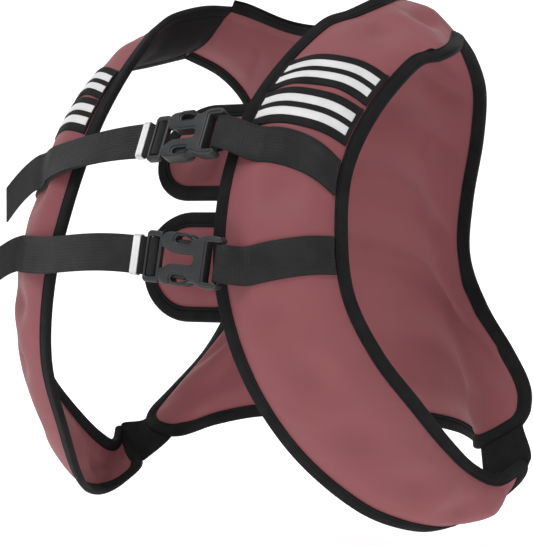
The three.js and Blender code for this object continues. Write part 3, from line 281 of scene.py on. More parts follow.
def back_normal(down, across):
    """The panel's own normal, turning into the seam's near the shoulder seam."""
    t = np.abs(across)
    blend = (1 - ramp(down, 0, SEAM_BLEND / DROP)) * ramp(t, NECK_SHARE - 0.08, NECK_SHARE + 0.02)
    seam = seam_normal(np.clip((t - NECK_SHARE) / (1 - NECK_SHARE), 0, 1))
    seam[..., 0] *= np.where(across < 0, -1, 1)
    return unit(back_normal_alone(down, across) * (1 - blend[..., None]) + seam * blend[..., None])


def distance_to_line(points, line):
    """The smallest distance from each point to the line's straight pieces."""
    best = np.full(points.shape[:-1], np.inf)
    for start, end in zip(line[:-1], line[1:]):
        along = end - start
        share = np.clip((points - start) @ along / (along @ along), 0, 1)
        best = np.minimum(best, np.linalg.norm(points - start - share[..., None] * along, axis=-1))
    return best


def corner_inset(distance):
    """How far a quarter circle has drawn the side edge in, at a distance from the end edge."""
    left = np.clip(CORNER_RADIUS - distance, 0, CORNER_RADIUS)
    return CORNER_RADIUS - np.sqrt(CORNER_RADIUS**2 - left**2)


def pad_half(distance, full=PAD_HALF, roll=PAD_ROLL):
    """Edge half thickness, then a quarter sine wave up to the full half over the roll's width."""
    share = np.clip((distance - BINDING_CLEAR) / roll, 0, 1)
    return EDGE_HALF + (full - EDGE_HALF) * np.sin(share * np.pi / 2)


def ripples(a, b, height, waves, seed):
    """A sum of sine waves over two distances, with random directions, lengths and phases."""
    draw = np.random.default_rng(seed)
    total = np.zeros_like(a)
    for _ in range(waves):
        angle = draw.uniform(0, np.pi)
        length = draw.uniform(SHORTEST_RIPPLE, LONGEST_RIPPLE)
        wave = (a * np.cos(angle) + b * np.sin(angle)) * 2 * np.pi / length
        total += np.sin(wave + draw.uniform(0, 2 * np.pi))
    return total * height / np.sqrt(waves)


def tube_faces(rows, columns):
    """Quads round an open tube of rows by columns."""
    ids = np.arange(rows * columns).reshape(rows, columns)
    after = np.roll(ids, -1, axis=1)
    return np.stack([ids[:-1], after[:-1], after[1:], ids[1:]], -1).reshape(-1, 4)


def closed_sheet(outer, inner):
    """Points and faces of one closed skin: outer grid and inner grid joined along all four edges."""
    rows, columns = outer.shape[:2]
    ids = np.arange(rows * 2 * columns).reshape(rows, 2 * columns)
    caps = []
    for row in (ids[0], ids[-1][::-1]):
        near = row[:columns]
        far = row[columns:][::-1]
        caps.append(np.stack([near[:-1], far[:-1], far[1:], near[1:]], -1))
    points = np.concatenate([outer, inner[:, ::-1]], axis=1)
    return points, np.concatenate([tube_faces(rows, 2 * columns), *caps])


def start_piece(name, points, faces, uv=None):
    """A mesh of the points and faces, with each point's UV where one is given, and its bmesh to work on."""
    mesh = bpy.data.meshes.new(name)
    mesh.from_pydata(points.reshape(-1, 3).tolist(), [], faces)
    if uv is not None:
        corners = np.empty(len(mesh.loops), int)
        mesh.loops.foreach_get("vertex_index", corners)
        layer = mesh.uv_layers.new(name="cloth")
        layer.data.foreach_set("uv", uv.reshape(-1, 2)[corners].ravel())
    work = bmesh.new()
    work.from_mesh(mesh)
    return mesh, work


def finish_piece(mesh, work, material, node, slot):
    """Turns the faces outward, smooths them, and adds the mesh as the piece that stands for a node."""
    bmesh.ops.recalc_face_normals(work, faces=work.faces)
    work.to_mesh(mesh)
    work.free()
    mesh.polygons.foreach_set("use_smooth", [True] * len(mesh.polygons))
    mesh.materials.clear()
    mesh.materials.append(material)
    piece = add_object(mesh.name, mesh)
    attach(piece, "root")
    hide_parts(node)
    return piece


def add_piece(name, points, faces, material, node, slot, uv=None):
    """A closed grid as one piece, with the points that share a place merged."""
    mesh, work = start_piece(name, points, faces.tolist(), uv)
    bmesh.ops.remove_doubles(work, verts=work.verts, dist=SAME_PLACE)
    return finish_piece(mesh, work, material, node, slot)


def new_material(name, roughness, specular=0.5, sheen=0.0):
    """A material, its node tree and its Principled shader."""
    material = bpy.data.materials.new(name)
    material.use_nodes = True
    tree = material.node_tree
    shader = tree.nodes["Principled BSDF"]
    shader.inputs["Roughness"].default_value = roughness
    shader.inputs["Specular IOR Level"].default_value = specular
    shader.inputs["Sheen Weight"].default_value = sheen
    return material, tree, shader


def add_node(tree, kind, inputs=None, **settings):
    """One node with its settings, whose inputs take a value or another node's output."""
    node = tree.nodes.new(kind)
    for key, value in settings.items():
        setattr(node, key, value)
    for key, value in (inputs or {}).items():
        if isinstance(value, bpy.types.NodeSocket):
            tree.links.new(value, node.inputs[key])
        else:
            node.inputs[key].default_value = value
    return node


def math_node(tree, operation, *values):
    """The output of a Math node of the values or outputs."""
    return add_node(tree, "ShaderNodeMath", dict(enumerate(values)), operation=operation).outputs[0]


def new_group(name, inputs, outputs):
    """A node group with number sockets, the inputs with their first values, and its two end nodes."""
    group = bpy.data.node_groups.new(name, "ShaderNodeTree")
    for label, value in inputs.items():
        group.interface.new_socket(label, in_out="INPUT", socket_type="NodeSocketFloat").default_value = value
    for label in outputs:
        group.interface.new_socket(label, in_out="OUTPUT", socket_type="NodeSocketFloat")
    return group, group.nodes.new("NodeGroupInput"), group.nodes.new("NodeGroupOutput")


def make_grain_group():
    """Grain: a fine noise for the height and a broad noise for the tone, both from 0 to 1."""
    inputs = {"Fine Scale": 900.0, "Broad Scale": 14.0}
    group, source, target = new_group("cloth_grain", inputs, ("Height", "Tone"))
    place = group.nodes.new("ShaderNodeTexCoord").outputs["Object"]
    fine = add_node(group, "ShaderNodeTexNoise", {
        "Vector": place, "Scale": source.outputs["Fine Scale"], "Detail": 3.0, "Roughness": 0.6})
    broad = add_node(group, "ShaderNodeTexNoise", {
        "Vector": place, "Scale": source.outputs["Broad Scale"], "Detail": 3.0})
    group.links.new(fine.outputs["Fac"], target.inputs["Height"])
    group.links.new(broad.outputs["Fac"], target.inputs["Tone"])
    return group


grain_group = make_grain_group()


def grain_finish(tree, shader, dark, light, fine_scale, broad_scale, bump_height, extra_height=None):
    """Colour between dark and light by the broad noise, and a bump from the fine one plus an extra
    height."""
    grain = add_node(tree, "ShaderNodeGroup", {"Fine Scale": fine_scale, "Broad Scale": broad_scale},
                     node_tree=grain_group)
    tone = add_node(tree, "ShaderNodeMapRange", {
        "Value": grain.outputs["Tone"], "From Min": 0.3, "From Max": 0.7})
    # The Mix node's two colours are its inputs 6 and 7, and its mixed colour is output 2.
    mix = add_node(tree, "ShaderNodeMix", {"Factor": tone.outputs["Result"]}, data_type="RGBA")
    mix.inputs[6].default_value = (*dark, 1)
    mix.inputs[7].default_value = (*light, 1)
    tree.links.new(mix.outputs[2], shader.inputs["Base Color"])
    height = grain.outputs["Height"]
    if extra_height is not None:
        height = math_node(tree, "ADD", height, extra_height)
    bump = add_node(tree, "ShaderNodeBump", {"Height": height, "Strength": 1.0, "Distance": bump_height})
    tree.links.new(bump.outputs["Normal"], shader.inputs["Normal"])


neoprene, neoprene_tree, neoprene_shader = new_material("neoprene", 0.62, 0.22, 0.05)
neoprene_shader.inputs["Sheen Roughness"].default_value = 0.5
grain_finish(neoprene_tree, neoprene_shader, (0.240, 0.073, 0.082), (0.268, 0.085, 0.095),
             fine_scale=1500, broad_scale=9, bump_height=0.00012)

FRONT_ROWS = 330
FRONT_COLUMNS = 84
END_ROWS = 26
END_STEPS = 40
front_runs = np.concatenate([
    np.linspace(0.0001, FRONT_LENGTH - CORNER_RADIUS, FRONT_ROWS, endpoint=False),
    FRONT_LENGTH - CORNER_RADIUS * (1 - np.sin(np.linspace(0, np.pi / 2, END_ROWS))),
])
front_stations = station_at(front_runs)


def front_width(s):
    """Length of the chord between the panel's edges."""
    return np.linalg.norm(curve_at(OUTER_EDGE, s) - curve_at(INNER_EDGE, s), axis=-1)


def front_inset(s):
    """Share by which the rounded corners draw the panel's edges in."""
    return corner_inset(FRONT_LENGTH - run_at(s)) / front_width(s)


def front_outline():
    """Stations and shares round the bound edge: inner edge down, end edge across, outer edge back up."""
    inset = front_inset(front_stations)
    end = np.linspace(inset[-1], 1 - inset[-1], END_STEPS)[1:-1]
    s = np.concatenate([front_stations, np.full_like(end, LAST), front_stations[::-1]])
    return s, np.concatenate([inset, end, 1 - inset[::-1]])


front_edge_line = front_middle(*front_outline())[::3]


def front_half(s, x):
    """Half thickness of the padding at a point of a front panel."""
    return pad_half(distance_to_line(front_middle(s, x), front_edge_line))


def dents_at(points):
    """Bell curves round the tacks."""
    depth = np.zeros(points.shape[:-1])
    for tack in front_middle(FRONT_DENTS[:, 0], FRONT_DENTS[:, 1]):
        distance = np.linalg.norm(points - tack, axis=-1)
        depth += DENT_DEPTH * np.exp(-DENT_SHARPNESS * (distance / DENT_RADIUS)**2)
    return depth


def mirrored(points, side):
    """The same points on the other side of the middle plane."""
    return points * np.array([side, 1, 1])


def front_panel(word, side, seed):
    """One panel's skin: both faces lift from the middle surface by the pad's half, less dents."""
    share = np.linspace(0, 1, FRONT_COLUMNS)
    inset = front_inset(front_stations)[:, None]
    x = inset + (1 - 2 * inset) * share[None, :]
    s = np.repeat(front_stations[:, None], FRONT_COLUMNS, axis=1)
    middle = front_middle(s, x)
    normal = front_normal(s, x)
    edge = distance_to_line(middle, front_edge_line)
    half = pad_half(edge)
    fullness = ramp(half, EDGE_HALF, PAD_HALF)
    run = run_at(s)
    across = x * front_width(s)
    groove = SEAM_GROOVE * np.exp(-(run / SEAM_GROOVE_WIDTH)**2) * fullness
    wave = ripples(run, across, WAVE_HEIGHT, 5, seed) * fullness
    phase = run * 2 * np.pi / PUCKER_LENGTH + ripples(run, across, PUCKER_WANDER, 3, seed + 1)
    pucker = PUCKER_HEIGHT * np.sin(phase) * np.exp(-np.clip(edge - BINDING_CLEAR, 0, 1) / PUCKER_FADE)
    pucker = pucker * ramp(edge, BINDING_CLEAR, PUCKER_FULL)
    lumps = ripples(run, across, LUMP_HEIGHT, 6, seed + 2) * fullness * ramp(s, LUMPS_FROM, LUMPS_FULL)
    dent = dents_at(middle) * fullness
    top = half - dent - groove + wave + pucker
    bottom = half - INNER_DENT_SHARE * dent - groove + wave + lumps + pucker
    outer = mirrored(middle + normal * top[..., None], side)
    inner = mirrored(middle - normal * bottom[..., None], side)
    points, faces = closed_sheet(outer, inner)
    piece = add_piece(f"front_pad_{word}", points, faces, neoprene, f"front_panel_{word}", "neoprene")


front_panel("left", 1, 11)
front_panel("right", -1, 23)

# Back panel
# A pad like the front ones, cut low at the neck, with two arms at its hem that reach the sides. It hangs
# in soft level folds, which show most on its inner face.
BACK_ROWS = 190
BACK_COLUMNS = 111
BACK_END_ROWS = 14
WIDTH_STEPS = 13
HEM_STEPS = 160
NECK_STEPS = 120
BACK_WAVE_HEIGHT = 0.0006
CREASE_WANDER = 0.012
CREASE_TURNS = 40
CREASE_SHIFT = 9
LEVEL_STRETCH = 0.25
# Soft creases: share of the way down the middle, dip at the edges, depth, half width.
BACK_CREASES = np.array([
    [0.12, 0.10, 0.0020, 0.008],
    [0.22, 0.05, 0.0040, 0.011],
    [0.37, 0.02, 0.0066, 0.011],
    [0.53, 0.02, 0.0066, 0.012],
    [0.69, 0.20, 0.0072, 0.013],
    [0.86, 0.10, 0.0032, 0.011],
])
spine_line = back_middle(np.linspace(0, 1, 60), np.zeros(60))
BACK_LENGTH = np.linalg.norm(np.diff(spine_line, axis=0), axis=1).sum()
back_downs = np.concatenate([
    np.linspace(0.0003, 1 - CORNER_RADIUS / BACK_LENGTH, BACK_ROWS, endpoint=False),
    1 - CORNER_RADIUS / BACK_LENGTH * (1 - np.sin(np.linspace(0, np.pi / 2, BACK_END_ROWS))),
])


def back_edge(down):
    """The share at which the back panel's edge lies, drawn in round the hem's corners."""
    across = np.repeat(np.linspace(0, 1, WIDTH_STEPS)[None, :], len(down), axis=0)
    rows = back_middle(np.repeat(down[:, None], WIDTH_STEPS, axis=1), across)
    length = np.linalg.norm(np.diff(rows, axis=1), axis=-1).sum(axis=1)
    return 1 - corner_inset((1 - down) * BACK_LENGTH) / length


back_edges = back_edge(back_downs)
hem_across = np.linspace(back_edges[-1], -back_edges[-1], HEM_STEPS)[1:-1]
back_outline = (
    np.concatenate([back_downs, np.ones_like(hem_across), back_downs[::-1]]),
    np.concatenate([back_edges, hem_across, -back_edges[::-1]]),
)
neck_across = np.linspace(-NECK_SHARE, NECK_SHARE, NECK_STEPS)
back_edge_line = back_middle(*back_outline)[::2]
neck_edge_line = back_middle(np.zeros_like(neck_across), neck_across)[::2]


def back_panel():
    """The skin lies at the pad's half thickness from the middle surface. The creases cut into the inner
    face, and the outer face keeps a third of them."""
    share = np.linspace(-1, 1, 2 * BACK_COLUMNS - 1)
    across = back_edges[:, None] * share[None, :]
    down = np.repeat(back_downs[:, None], across.shape[1], axis=1)
    middle = back_middle(down, across)
    normal = back_normal(down, across)
    edge = np.minimum(distance_to_line(middle, back_edge_line), distance_to_line(middle, neck_edge_line))
    half = pad_half(edge)
    fullness = ramp(half, EDGE_HALF, PAD_HALF)
    run = down * BACK_LENGTH
    width = middle[..., 0]
    crease = np.zeros_like(down)
    for share_down, dip, depth, half_width in BACK_CREASES:
        wander = CREASE_WANDER * np.sin(width * CREASE_TURNS + share_down * CREASE_SHIFT)
        line = share_down + dip * across**2 + wander
        crease += depth * np.exp(-((down - line) * BACK_LENGTH / half_width)**2)
    wave = ripples(run, width * LEVEL_STRETCH, BACK_WAVE_HEIGHT, 6, 37) * fullness
    at_seam = ramp(np.abs(across), NECK_SHARE, NECK_SHARE + 0.03) * fullness
    seam = SEAM_GROOVE * np.exp(-(run / SEAM_GROOVE_WIDTH)**2) * at_seam
    top = half - crease * fullness / 3 + wave - seam
    bottom = half - crease * fullness + wave - seam
    points, faces = closed_sheet(middle + normal * top[..., None], middle - normal * bottom[..., None])
    piece = add_piece("back_pad", points, faces, neoprene, "back_panel", "neoprene")


back_panel()

# Edge bindings
# A black woven tape is folded over each sewn edge and stitched through both its legs. It stands a little
# proud of the edge, and its stitch line sinks in.
BINDING_CLOTH = 0.0011
BINDING_INSIDE = EDGE_HALF + 0.0001
BINDING_END = BINDING_WIDTH * 1.04
# One leg of the folded section, from its cut edge to the fold: share of the width, share of the cloth.
BINDING_LEG = np.array([
    [1.03, 0.35], [1.0, 0.85], [0.93, 1.0], [0.86, 0.95], [0.81, 0.62], [0.76, 0.62], [0.71, 0.98],
    [0.6, 1.18], [0.45, 1.26], [0.3, 1.26], [0.15, 1.22], [0.0, 1.15],
])
FOLD_STEPS = 9
FOLD_BULGE = 0.6
# At a sharp inner corner the section leaves the surface, once it would drift this far from straight.
DRIFT_START = 0.0025
DRIFT_FULL = 0.005
FRONT_LIMITS = ((0, LAST), (0, 1))
BACK_LIMITS = ((0, 1), (-1, 1))


def fold_section(width):
    """Distances in from the edge and heights of the closed section: one leg, the half-round fold, the
    other leg, and the flat inside back to the start."""
    inward = BINDING_LEG[:, 0] * width
    height = BINDING_INSIDE + BINDING_LEG[:, 1] * BINDING_CLOTH
    top = height[-1]
    angle = np.linspace(0, np.pi, FOLD_STEPS)[1:-1]
    d = np.concatenate([inward, -FOLD_BULGE * top * np.sin(angle), inward[::-1], [width, 0, 0, width]])
    inside = [-BINDING_INSIDE, -BINDING_INSIDE, BINDING_INSIDE, BINDING_INSIDE]
    h = np.concatenate([height, top * np.cos(angle), -height[::-1], inside])
    return d, h


def laid_along(surface, normal, limits, a, b, turn, d, h):
    """Carries a section along the edge a, b of a surface. A section point at d inward goes to the surface
    point reached by that distance square to the edge, then up by h along the normal."""
    edge = surface(a, b)
    up = normal(a, b)
    along = np.gradient(edge, axis=0)
    inward = unit(np.cross(up, along)) * turn
    step = 1e-3
    (a_low, a_high), (b_low, b_high) = limits
    safe_a = np.clip(a, a_low + step, a_high - step)
    safe_b = np.clip(b, b_low + step, b_high - step)
    by_a = (surface(safe_a + step, safe_b) - surface(safe_a - step, safe_b)) / (2 * step)
    by_b = (surface(safe_a, safe_b + step) - surface(safe_a, safe_b - step)) / (2 * step)
    aa, ab, bb = (by_a * by_a).sum(-1), (by_a * by_b).sum(-1), (by_b * by_b).sum(-1)
    ia, ib = (by_a * inward).sum(-1), (by_b * inward).sum(-1)
    det = np.maximum(aa * bb - ab * ab, 1e-12)
    da = (ia * bb - ib * ab) / det
    db = (ib * aa - ia * ab) / det
    reach = np.maximum(d, 0)[None, :]
    on = surface(a[:, None] + da[:, None] * reach, b[:, None] + db[:, None] * reach)
    straight = edge[:, None] + inward[:, None] * reach[..., None]
    drift = np.linalg.norm(on - straight, axis=-1, keepdims=True)
    away = ramp(drift, DRIFT_START, DRIFT_FULL)
    on = on * (1 - away) + straight * away
    past = np.minimum(d, 0)[None, :, None] * inward[:, None]
    return on + past + up[:, None] * h[None, :, None]


def grid_uv(along, around):
    """The UV of each point of a grid, from its distances along the rows and round them."""
    return np.stack(np.broadcast_arrays(along[:, None], around[None, :]), -1)


def add_tube(name, points, material, node, slot):
    """A tube closed at both ends, with its UV in metres: along the path, and round the section."""
    rows, columns = points.shape[:2]
    uv = grid_uv(lengths_along(points.mean(axis=1)), lengths_along(points[0]))
    faces = tube_faces(rows, columns).tolist()
    faces.append(list(range(columns))[::-1])
    faces.append(list(range((rows - 1) * columns, rows * columns)))
    finish_piece(*start_piece(name, points, faces, uv), material, node, slot)


def make_rib_group():
    """Ribs: the size of one sine wave along the UV, plus a share of another one across it, as a height."""
    inputs = {"Ribs Along": 700.0, "Ribs Across": 1600.0, "Across Share": 0.4}
    group, source, target = new_group("woven_ribs", inputs, ("Height",))
    place = group.nodes.new("ShaderNodeUVMap")
    parts = add_node(group, "ShaderNodeSeparateXYZ", {0: place.outputs["UV"]})
    waves = []
    for axis, label in (("X", "Ribs Along"), ("Y", "Ribs Across")):
        turns = math_node(group, "MULTIPLY", parts.outputs[axis], source.outputs[label])
        wave = math_node(group, "SINE", math_node(group, "MULTIPLY", turns, 2 * math.pi))
        waves.append(math_node(group, "ABSOLUTE", wave))
    part = math_node(group, "MULTIPLY", waves[1], source.outputs["Across Share"])
    group.links.new(math_node(group, "ADD", waves[0], part), target.inputs["Height"])
    return group


rib_group = make_rib_group()


def ribbed_cloth(name, dark, light, roughness, along, across, across_share, bump_height, specular=0.15):
    """Woven cloth: ribs by the UV, so many to the metre along and across, with the grain's tone."""
    material, tree, shader = new_material(name, roughness, specular)
    sockets = {"Ribs Along": along, "Ribs Across": across, "Across Share": across_share}
    ribs = add_node(tree, "ShaderNodeGroup", sockets, node_tree=rib_group)
    grain_finish(tree, shader, dark, light, fine_scale=2500, broad_scale=60, bump_height=bump_height,
                 extra_height=ribs.outputs["Height"])
    return material


binding_cloth = ribbed_cloth(
    "binding_cloth", (0.008, 0.008, 0.009), (0.013, 0.013, 0.014), roughness=0.75, specular=0.12,
    along=420, across=900, across_share=0.3, bump_height=0.00012)
binding_d, binding_h = fold_section(BINDING_WIDTH)
front_s, front_x = front_outline()
for word, side in (("left", 1), ("right", -1)):
    band = laid_along(front_middle, front_normal, FRONT_LIMITS, front_s, front_x, 1, binding_d, binding_h)
    add_tube(f"front_edge_{word}", mirrored(band, side), binding_cloth, f"binding_front_{word}", "binding")
band = laid_along(back_middle, back_normal, BACK_LIMITS, *back_outline, 1, binding_d, binding_h)
add_tube("back_edge", band, binding_cloth, "binding_back", "binding")
band = laid_along(back_middle, back_normal, BACK_LIMITS, np.full_like(neck_across, 0.0004), neck_across, -1,
                  binding_d, binding_h)
add_tube("neck_edge", band, binding_cloth, "binding_neck", "binding")

# Shoulder linings
# Black knitted cloth backs each front panel over the shoulder. It is sewn on inside the binding and
# stops at the top of the chest.
LINING_END = 3.4
LINING_CLOTH = 0.0009
LINING_CLEAR = 0.0002
LINING_START = 0.01
LINING_TUCK = 0.001
LINING_FOLD = 0.0007
LINING_ROWS = 110
LINING_COLUMNS = 46


def shoulder_lining(word, side):
    """A grid on the panel's inner face between the bindings, from the seam to where the lining stops."""
    stations = np.linspace(LINING_START, LINING_END, LINING_ROWS)[:, None]
    margin = (BINDING_CLEAR - LINING_TUCK) / front_width(stations[:, 0])[:, None]
    share = np.linspace(0, 1, LINING_COLUMNS)[None, :]
    x = margin + (1 - 2 * margin) * share
    s = np.repeat(stations, LINING_COLUMNS, axis=1)
    middle = front_middle(s, x)
    normal = front_normal(s, x)
    run = run_at(s)
    fold = ripples(run, x * front_width(s), LINING_FOLD, 5, 51 + side)
    half = front_half(s, x) + LINING_CLEAR
    inner = middle - normal * (half + fold * ramp(half, EDGE_HALF, PAD_HALF))[..., None]
    outer = inner - normal * LINING_CLOTH
    points, faces = closed_sheet(mirrored(outer, side), mirrored(inner, side))
    add_piece(f"lining_{word}", points, faces, lining_cloth, f"shoulder_lining_{word}", "lining")


lining_cloth, lining_tree, lining_shader = new_material("lining_cloth", 0.9, 0.15)
grain_finish(lining_tree, lining_shader, (0.010, 0.010, 0.011), (0.017, 0.017, 0.018),
             fine_scale=1800, broad_scale=20, bump_height=0.0002)
shoulder_lining("left", 1)
shoulder_lining("right", -1)

# Reflective tapes
# Two black woven tapes cross each chest panel and are sewn to its face. Each carries two pale stripes of
# glass-bead film along it.
TAPE_WIDTH = 0.033
TAPE_CLOTH = 0.0010
STRIPE_WIDTH = 0.007
STRIPE_CLOTH = 0.0004
STRIPE_OFFSET = 0.006
TAPE_ROWS = 70
TAPE_RUN = 0.07
LAID_CLEAR = 0.0001
# Stations at the inner edge, the middle and the outer edge.
TAPES = {"upper": (5.2, 4.83, 4.72), "lower": (5.8, 5.5, 5.38)}


def line_station(line, x):
    """The parabola through the line's three stations."""
    return line[0] * (1 - x) * (1 - 2 * x) + line[1] * 4 * x * (1 - x) + line[2] * x * (2 * x - 1)


def shares_between(line):
    """The shares across at which a line clears both bindings."""
    widths = front_width(np.array([line[0], line[2]]))
    return BINDING_END / widths[0], 1 - BINDING_END / widths[1]


def laid_cells(line, x, offsets, lift):
    """Points and normals of cloth laid over the left panel along a line, at offsets to either side."""
    station = line_station(line, x)
    rate = np.linalg.norm(front_middle(station + 0.1, x) - front_middle(station - 0.1, x), axis=-1) / 0.2
    s = station[:, None] + offsets[None, :] / rate[:, None]
    across = np.repeat(x[:, None], len(offsets), axis=1)
    middle = front_middle(s, across)
    normal = front_normal(s, across)
    half = front_half(s, across) - dents_at(middle) * ramp(front_half(s, across), EDGE_HALF, PAD_HALF)
    height = np.maximum(half, BINDING_INSIDE + BINDING_CLOTH) + lift
    return middle + normal * height[..., None], normal


BAND_EDGE = np.array([-1.0, -0.97, -0.6, -0.2, 0.2, 0.6, 0.97, 1.0])
BAND_LIFT = np.array([0.3, 1.0, 1.0, 1.0, 1.0, 1.0, 1.0, 0.3])


def band_sheet(points, normals, thickness):
    """A flat band from rows of points on its inner face: its outer face thins to rounded edges."""
    outer = points + normals * (thickness * BAND_LIFT)[None, :, None]
    return closed_sheet(outer, points)


def band_uv(rows, columns, length, width):
    """UV of a band in metres, along it and round it."""
    around = np.concatenate([np.linspace(0, width, columns), np.linspace(width, 2 * width, columns)])
    return grid_uv(np.linspace(0, length, rows), around)


def lay_band(name, node, line, x, side, offset, width, lift, thickness, material, slot):
    """A narrow band over a front panel, along the line and moved from it by the offset."""
    points, normals = laid_cells(line, x, offset + BAND_EDGE * width / 2, lift)
    points, faces = band_sheet(mirrored(points, side), mirrored(normals, side), thickness)
    uv = band_uv(len(x), len(BAND_EDGE), TAPE_RUN, width)
    add_piece(name, points, faces, material, node, slot, uv)


tape_cloth = ribbed_cloth(
    "tape_cloth", (0.011, 0.011, 0.012), (0.018, 0.018, 0.019), roughness=0.8,
    along=500, across=700, across_share=0.6, bump_height=0.0002)
stripe_cloth = ribbed_cloth(
    "stripe_cloth", (0.66, 0.66, 0.66), (0.78, 0.78, 0.78), roughness=0.4, specular=0.3,
    along=900, across=900, across_share=1.0, bump_height=0.00004)
for word, side in (("left", 1), ("right", -1)):
    for tape, line in TAPES.items():
        x = np.linspace(*shares_between(line), TAPE_ROWS)
        lay_band(f"tape_{tape}_{word}_cloth", f"tape_{tape}_{word}", line, x, side, 0, TAPE_WIDTH,
                 LAID_CLEAR, TAPE_CLOTH, tape_cloth, "tape")
        for place, sign in (("top", -1), ("bottom", 1)):
            stripe = f"stripe_{tape}_{place}_{word}"
            lay_band(f"{stripe}_film", stripe, line, x[2:-3], side, sign * STRIPE_OFFSET, STRIPE_WIDTH,
                     TAPE_CLOTH, STRIPE_CLOTH, stripe_cloth, "reflective")

# Chest webbing
# Charcoal ribbed webbing. On the left it is sewn across the panel and looped round the socket's bar. On
# the right it is sewn on, runs behind the ladder-lock frame, round its bar, back over itself through the
# keeper and out past the panel as a free tail with a hemmed end.
WEB_WIDTH = 0.028
WEB_CLOTH = 0.0016
BUCKLE_STAND_OFF = 0.012
BINDING_HALF = 0.0037
BAR_LENGTH = 0.0034
SOCKET_LENGTH = 0.050
FRAME_LENGTH = 0.014
FRAME_THICKNESS = 0.005
KEEPER_WIDTH = 0.006
LOCK_BAR = SOCKET_LENGTH + FRAME_LENGTH * 0.56
LOCK_END = SOCKET_LENGTH + FRAME_LENGTH
KEEPER_AT = LOCK_END + KEEPER_WIDTH + 0.002
ON_PANEL = 0.3
LOCK_BAR_THICKNESS = 0.0024
WEB_CLEAR = 0.0003
WEB_STEP = 0.0025
BAR_CLEAR = 0.0002
LEFT_ROWS = 24
RIGHT_ROWS = 20
LAPPED_ROWS = 6
LOOSE_LAP = 1.9
TAIL_SHARES = (0.2, 0.45, 0.72, 1.0)
TAIL_DROOP = 1.5
TAIL_FACING = np.array([0.25, 0.97, 0])
DIVE_TILT = 250
LEAVE_TILT = 190
# Stations of each strap's line over the left and the right panel, the buckle's station, lap, turn and
# slope, the share of the right panel that the tail lies on, and the tail's way out, back and down.
STRAPS = {
    "upper": {"left": (6.45, 6.15, 6.3), "right": (6.45, 6.4, 6.35), "buckle": 6.25, "lap": -0.01,
              "turn": 3, "slope": -4, "laid": 0.52, "tail": (0.25, 0.04, 0.07), "flap": 0.39},
    "lower": {"left": (7.9, 7.62, 7.36), "right": (7.72, 7.6, 7.5), "buckle": 7.75, "lap": 0.06,
              "turn": 12, "slope": 5, "laid": 0.4, "tail": (0.25, -0.02, 0.065), "flap": 0.34},
}


def front_point(s, x, lift):
    """One point off the left panel's middle surface."""
    s, x = np.array([float(s)]), np.array([float(x)])
    return (front_middle(s, x) + front_normal(s, x) * lift)[0]


def buckle_axes(strap, slope):
    """A buckle's origin and its directions away, up and outward. It leans back as the chest does there."""
    station = strap["buckle"]
    lap = strap["lap"] * HALF_WIDTH / front_width(np.array([station]))[0]
    origin = front_point(station, lap, BINDING_HALF + BUCKLE_STAND_OFF)
    along = curve_at(INNER_EDGE, np.array([station + 0.4])) - curve_at(INNER_EDGE, np.array([station - 0.4]))
    lean = math.atan2(-along[0, 1], -along[0, 2])
    turn = math.radians(strap["turn"])
    level = Vector((-math.cos(turn), -math.sin(turn), 0))
    outward = Vector((math.sin(turn) * math.cos(lean), -math.cos(turn) * math.cos(lean), math.sin(lean)))
    away = Matrix.Rotation(-math.radians(slope), 3, outward) @ level
    up = away.cross(outward).normalized()
    return origin, np.array(away), np.array(up), np.array(outward)


def buckle_row(axes, u, n, tilt):
    """A row of webbing cells at a buckle, u away and n outward, facing outward turned by tilt."""
    origin, away, up, outward = axes
    angle = math.radians(tilt)
    normal = outward * math.cos(angle) + away * math.sin(angle)
    centre = origin + away * u + outward * n
    points = centre + up * (-BAND_EDGE * WEB_WIDTH / 2)[:, None]
    return points, np.repeat(normal[None, :], len(BAND_EDGE), axis=0)


def smooth_rows(points, normals, step):
    """Rows refined to a step along the band: cubics over the chord lengths, with weighted slopes."""
    centre = points.mean(axis=1)
    gaps = np.maximum(np.linalg.norm(np.diff(centre, axis=0), axis=1), 1e-6)
    place = np.concatenate([[0], np.cumsum(gaps)])
    rates = np.diff(points, axis=0) / gaps[:, None, None]
    before, after = gaps[:-1, None, None], gaps[1:, None, None]
    inner = (rates[:-1] * after + rates[1:] * before) / (before + after)
    slopes = np.concatenate([rates[:1], inner, rates[-1:]])
    at = np.concatenate([np.linspace(place[i], place[i + 1], max(3, int(g / step)), endpoint=False)
                         for i, g in enumerate(gaps)] + [place[-1:]])
    i = np.clip(np.searchsorted(place, at, side="right") - 1, 0, len(gaps) - 1)
    h = gaps[i][:, None, None]
    t = (at - place[i])[:, None, None] / h
    fine = (2 * t**3 - 3 * t**2 + 1) * points[i] + (t**3 - 2 * t**2 + t) * h * slopes[i]
    fine = fine + (3 * t**2 - 2 * t**3) * points[i + 1] + (t**3 - t**2) * h * slopes[i + 1]
    facing = unit(normals[i] * (1 - t) + normals[i + 1] * t)
    return fine, facing, place[-1]


def joined_rows(rows):
    """Lists of (points, normals) as two arrays."""
    return np.stack([row[0] for row in rows]), np.stack([row[1] for row in rows])


def laid_rows(line, start, end, count, lift, side, facing=1):
    """Rows of webbing laid over a panel from one share across to another."""
    points, normals = laid_cells(line, np.linspace(start, end, count), BAND_EDGE * WEB_WIDTH / 2, lift)
    return list(zip(mirrored(points, side), mirrored(normals, side) * facing))


def left_webbing(strap, axes):
    """Across the left panel, out to the socket's bar and round it."""
    rows = laid_rows(strap["left"], shares_between(strap["left"])[1], ON_PANEL, LEFT_ROWS, LAID_CLEAR, 1)
    bar = BAR_LENGTH / 2 + BAR_CLEAR
    for u, n, tilt in ((0, bar, 0), (BAR_LENGTH, bar, 0), (BAR_LENGTH + WEB_CLEAR, 0, 90),
                       (BAR_LENGTH, -bar, 180), (-BAR_LENGTH, -bar, 180)):
        rows.append(buckle_row(axes, u, n, tilt))
    return rows


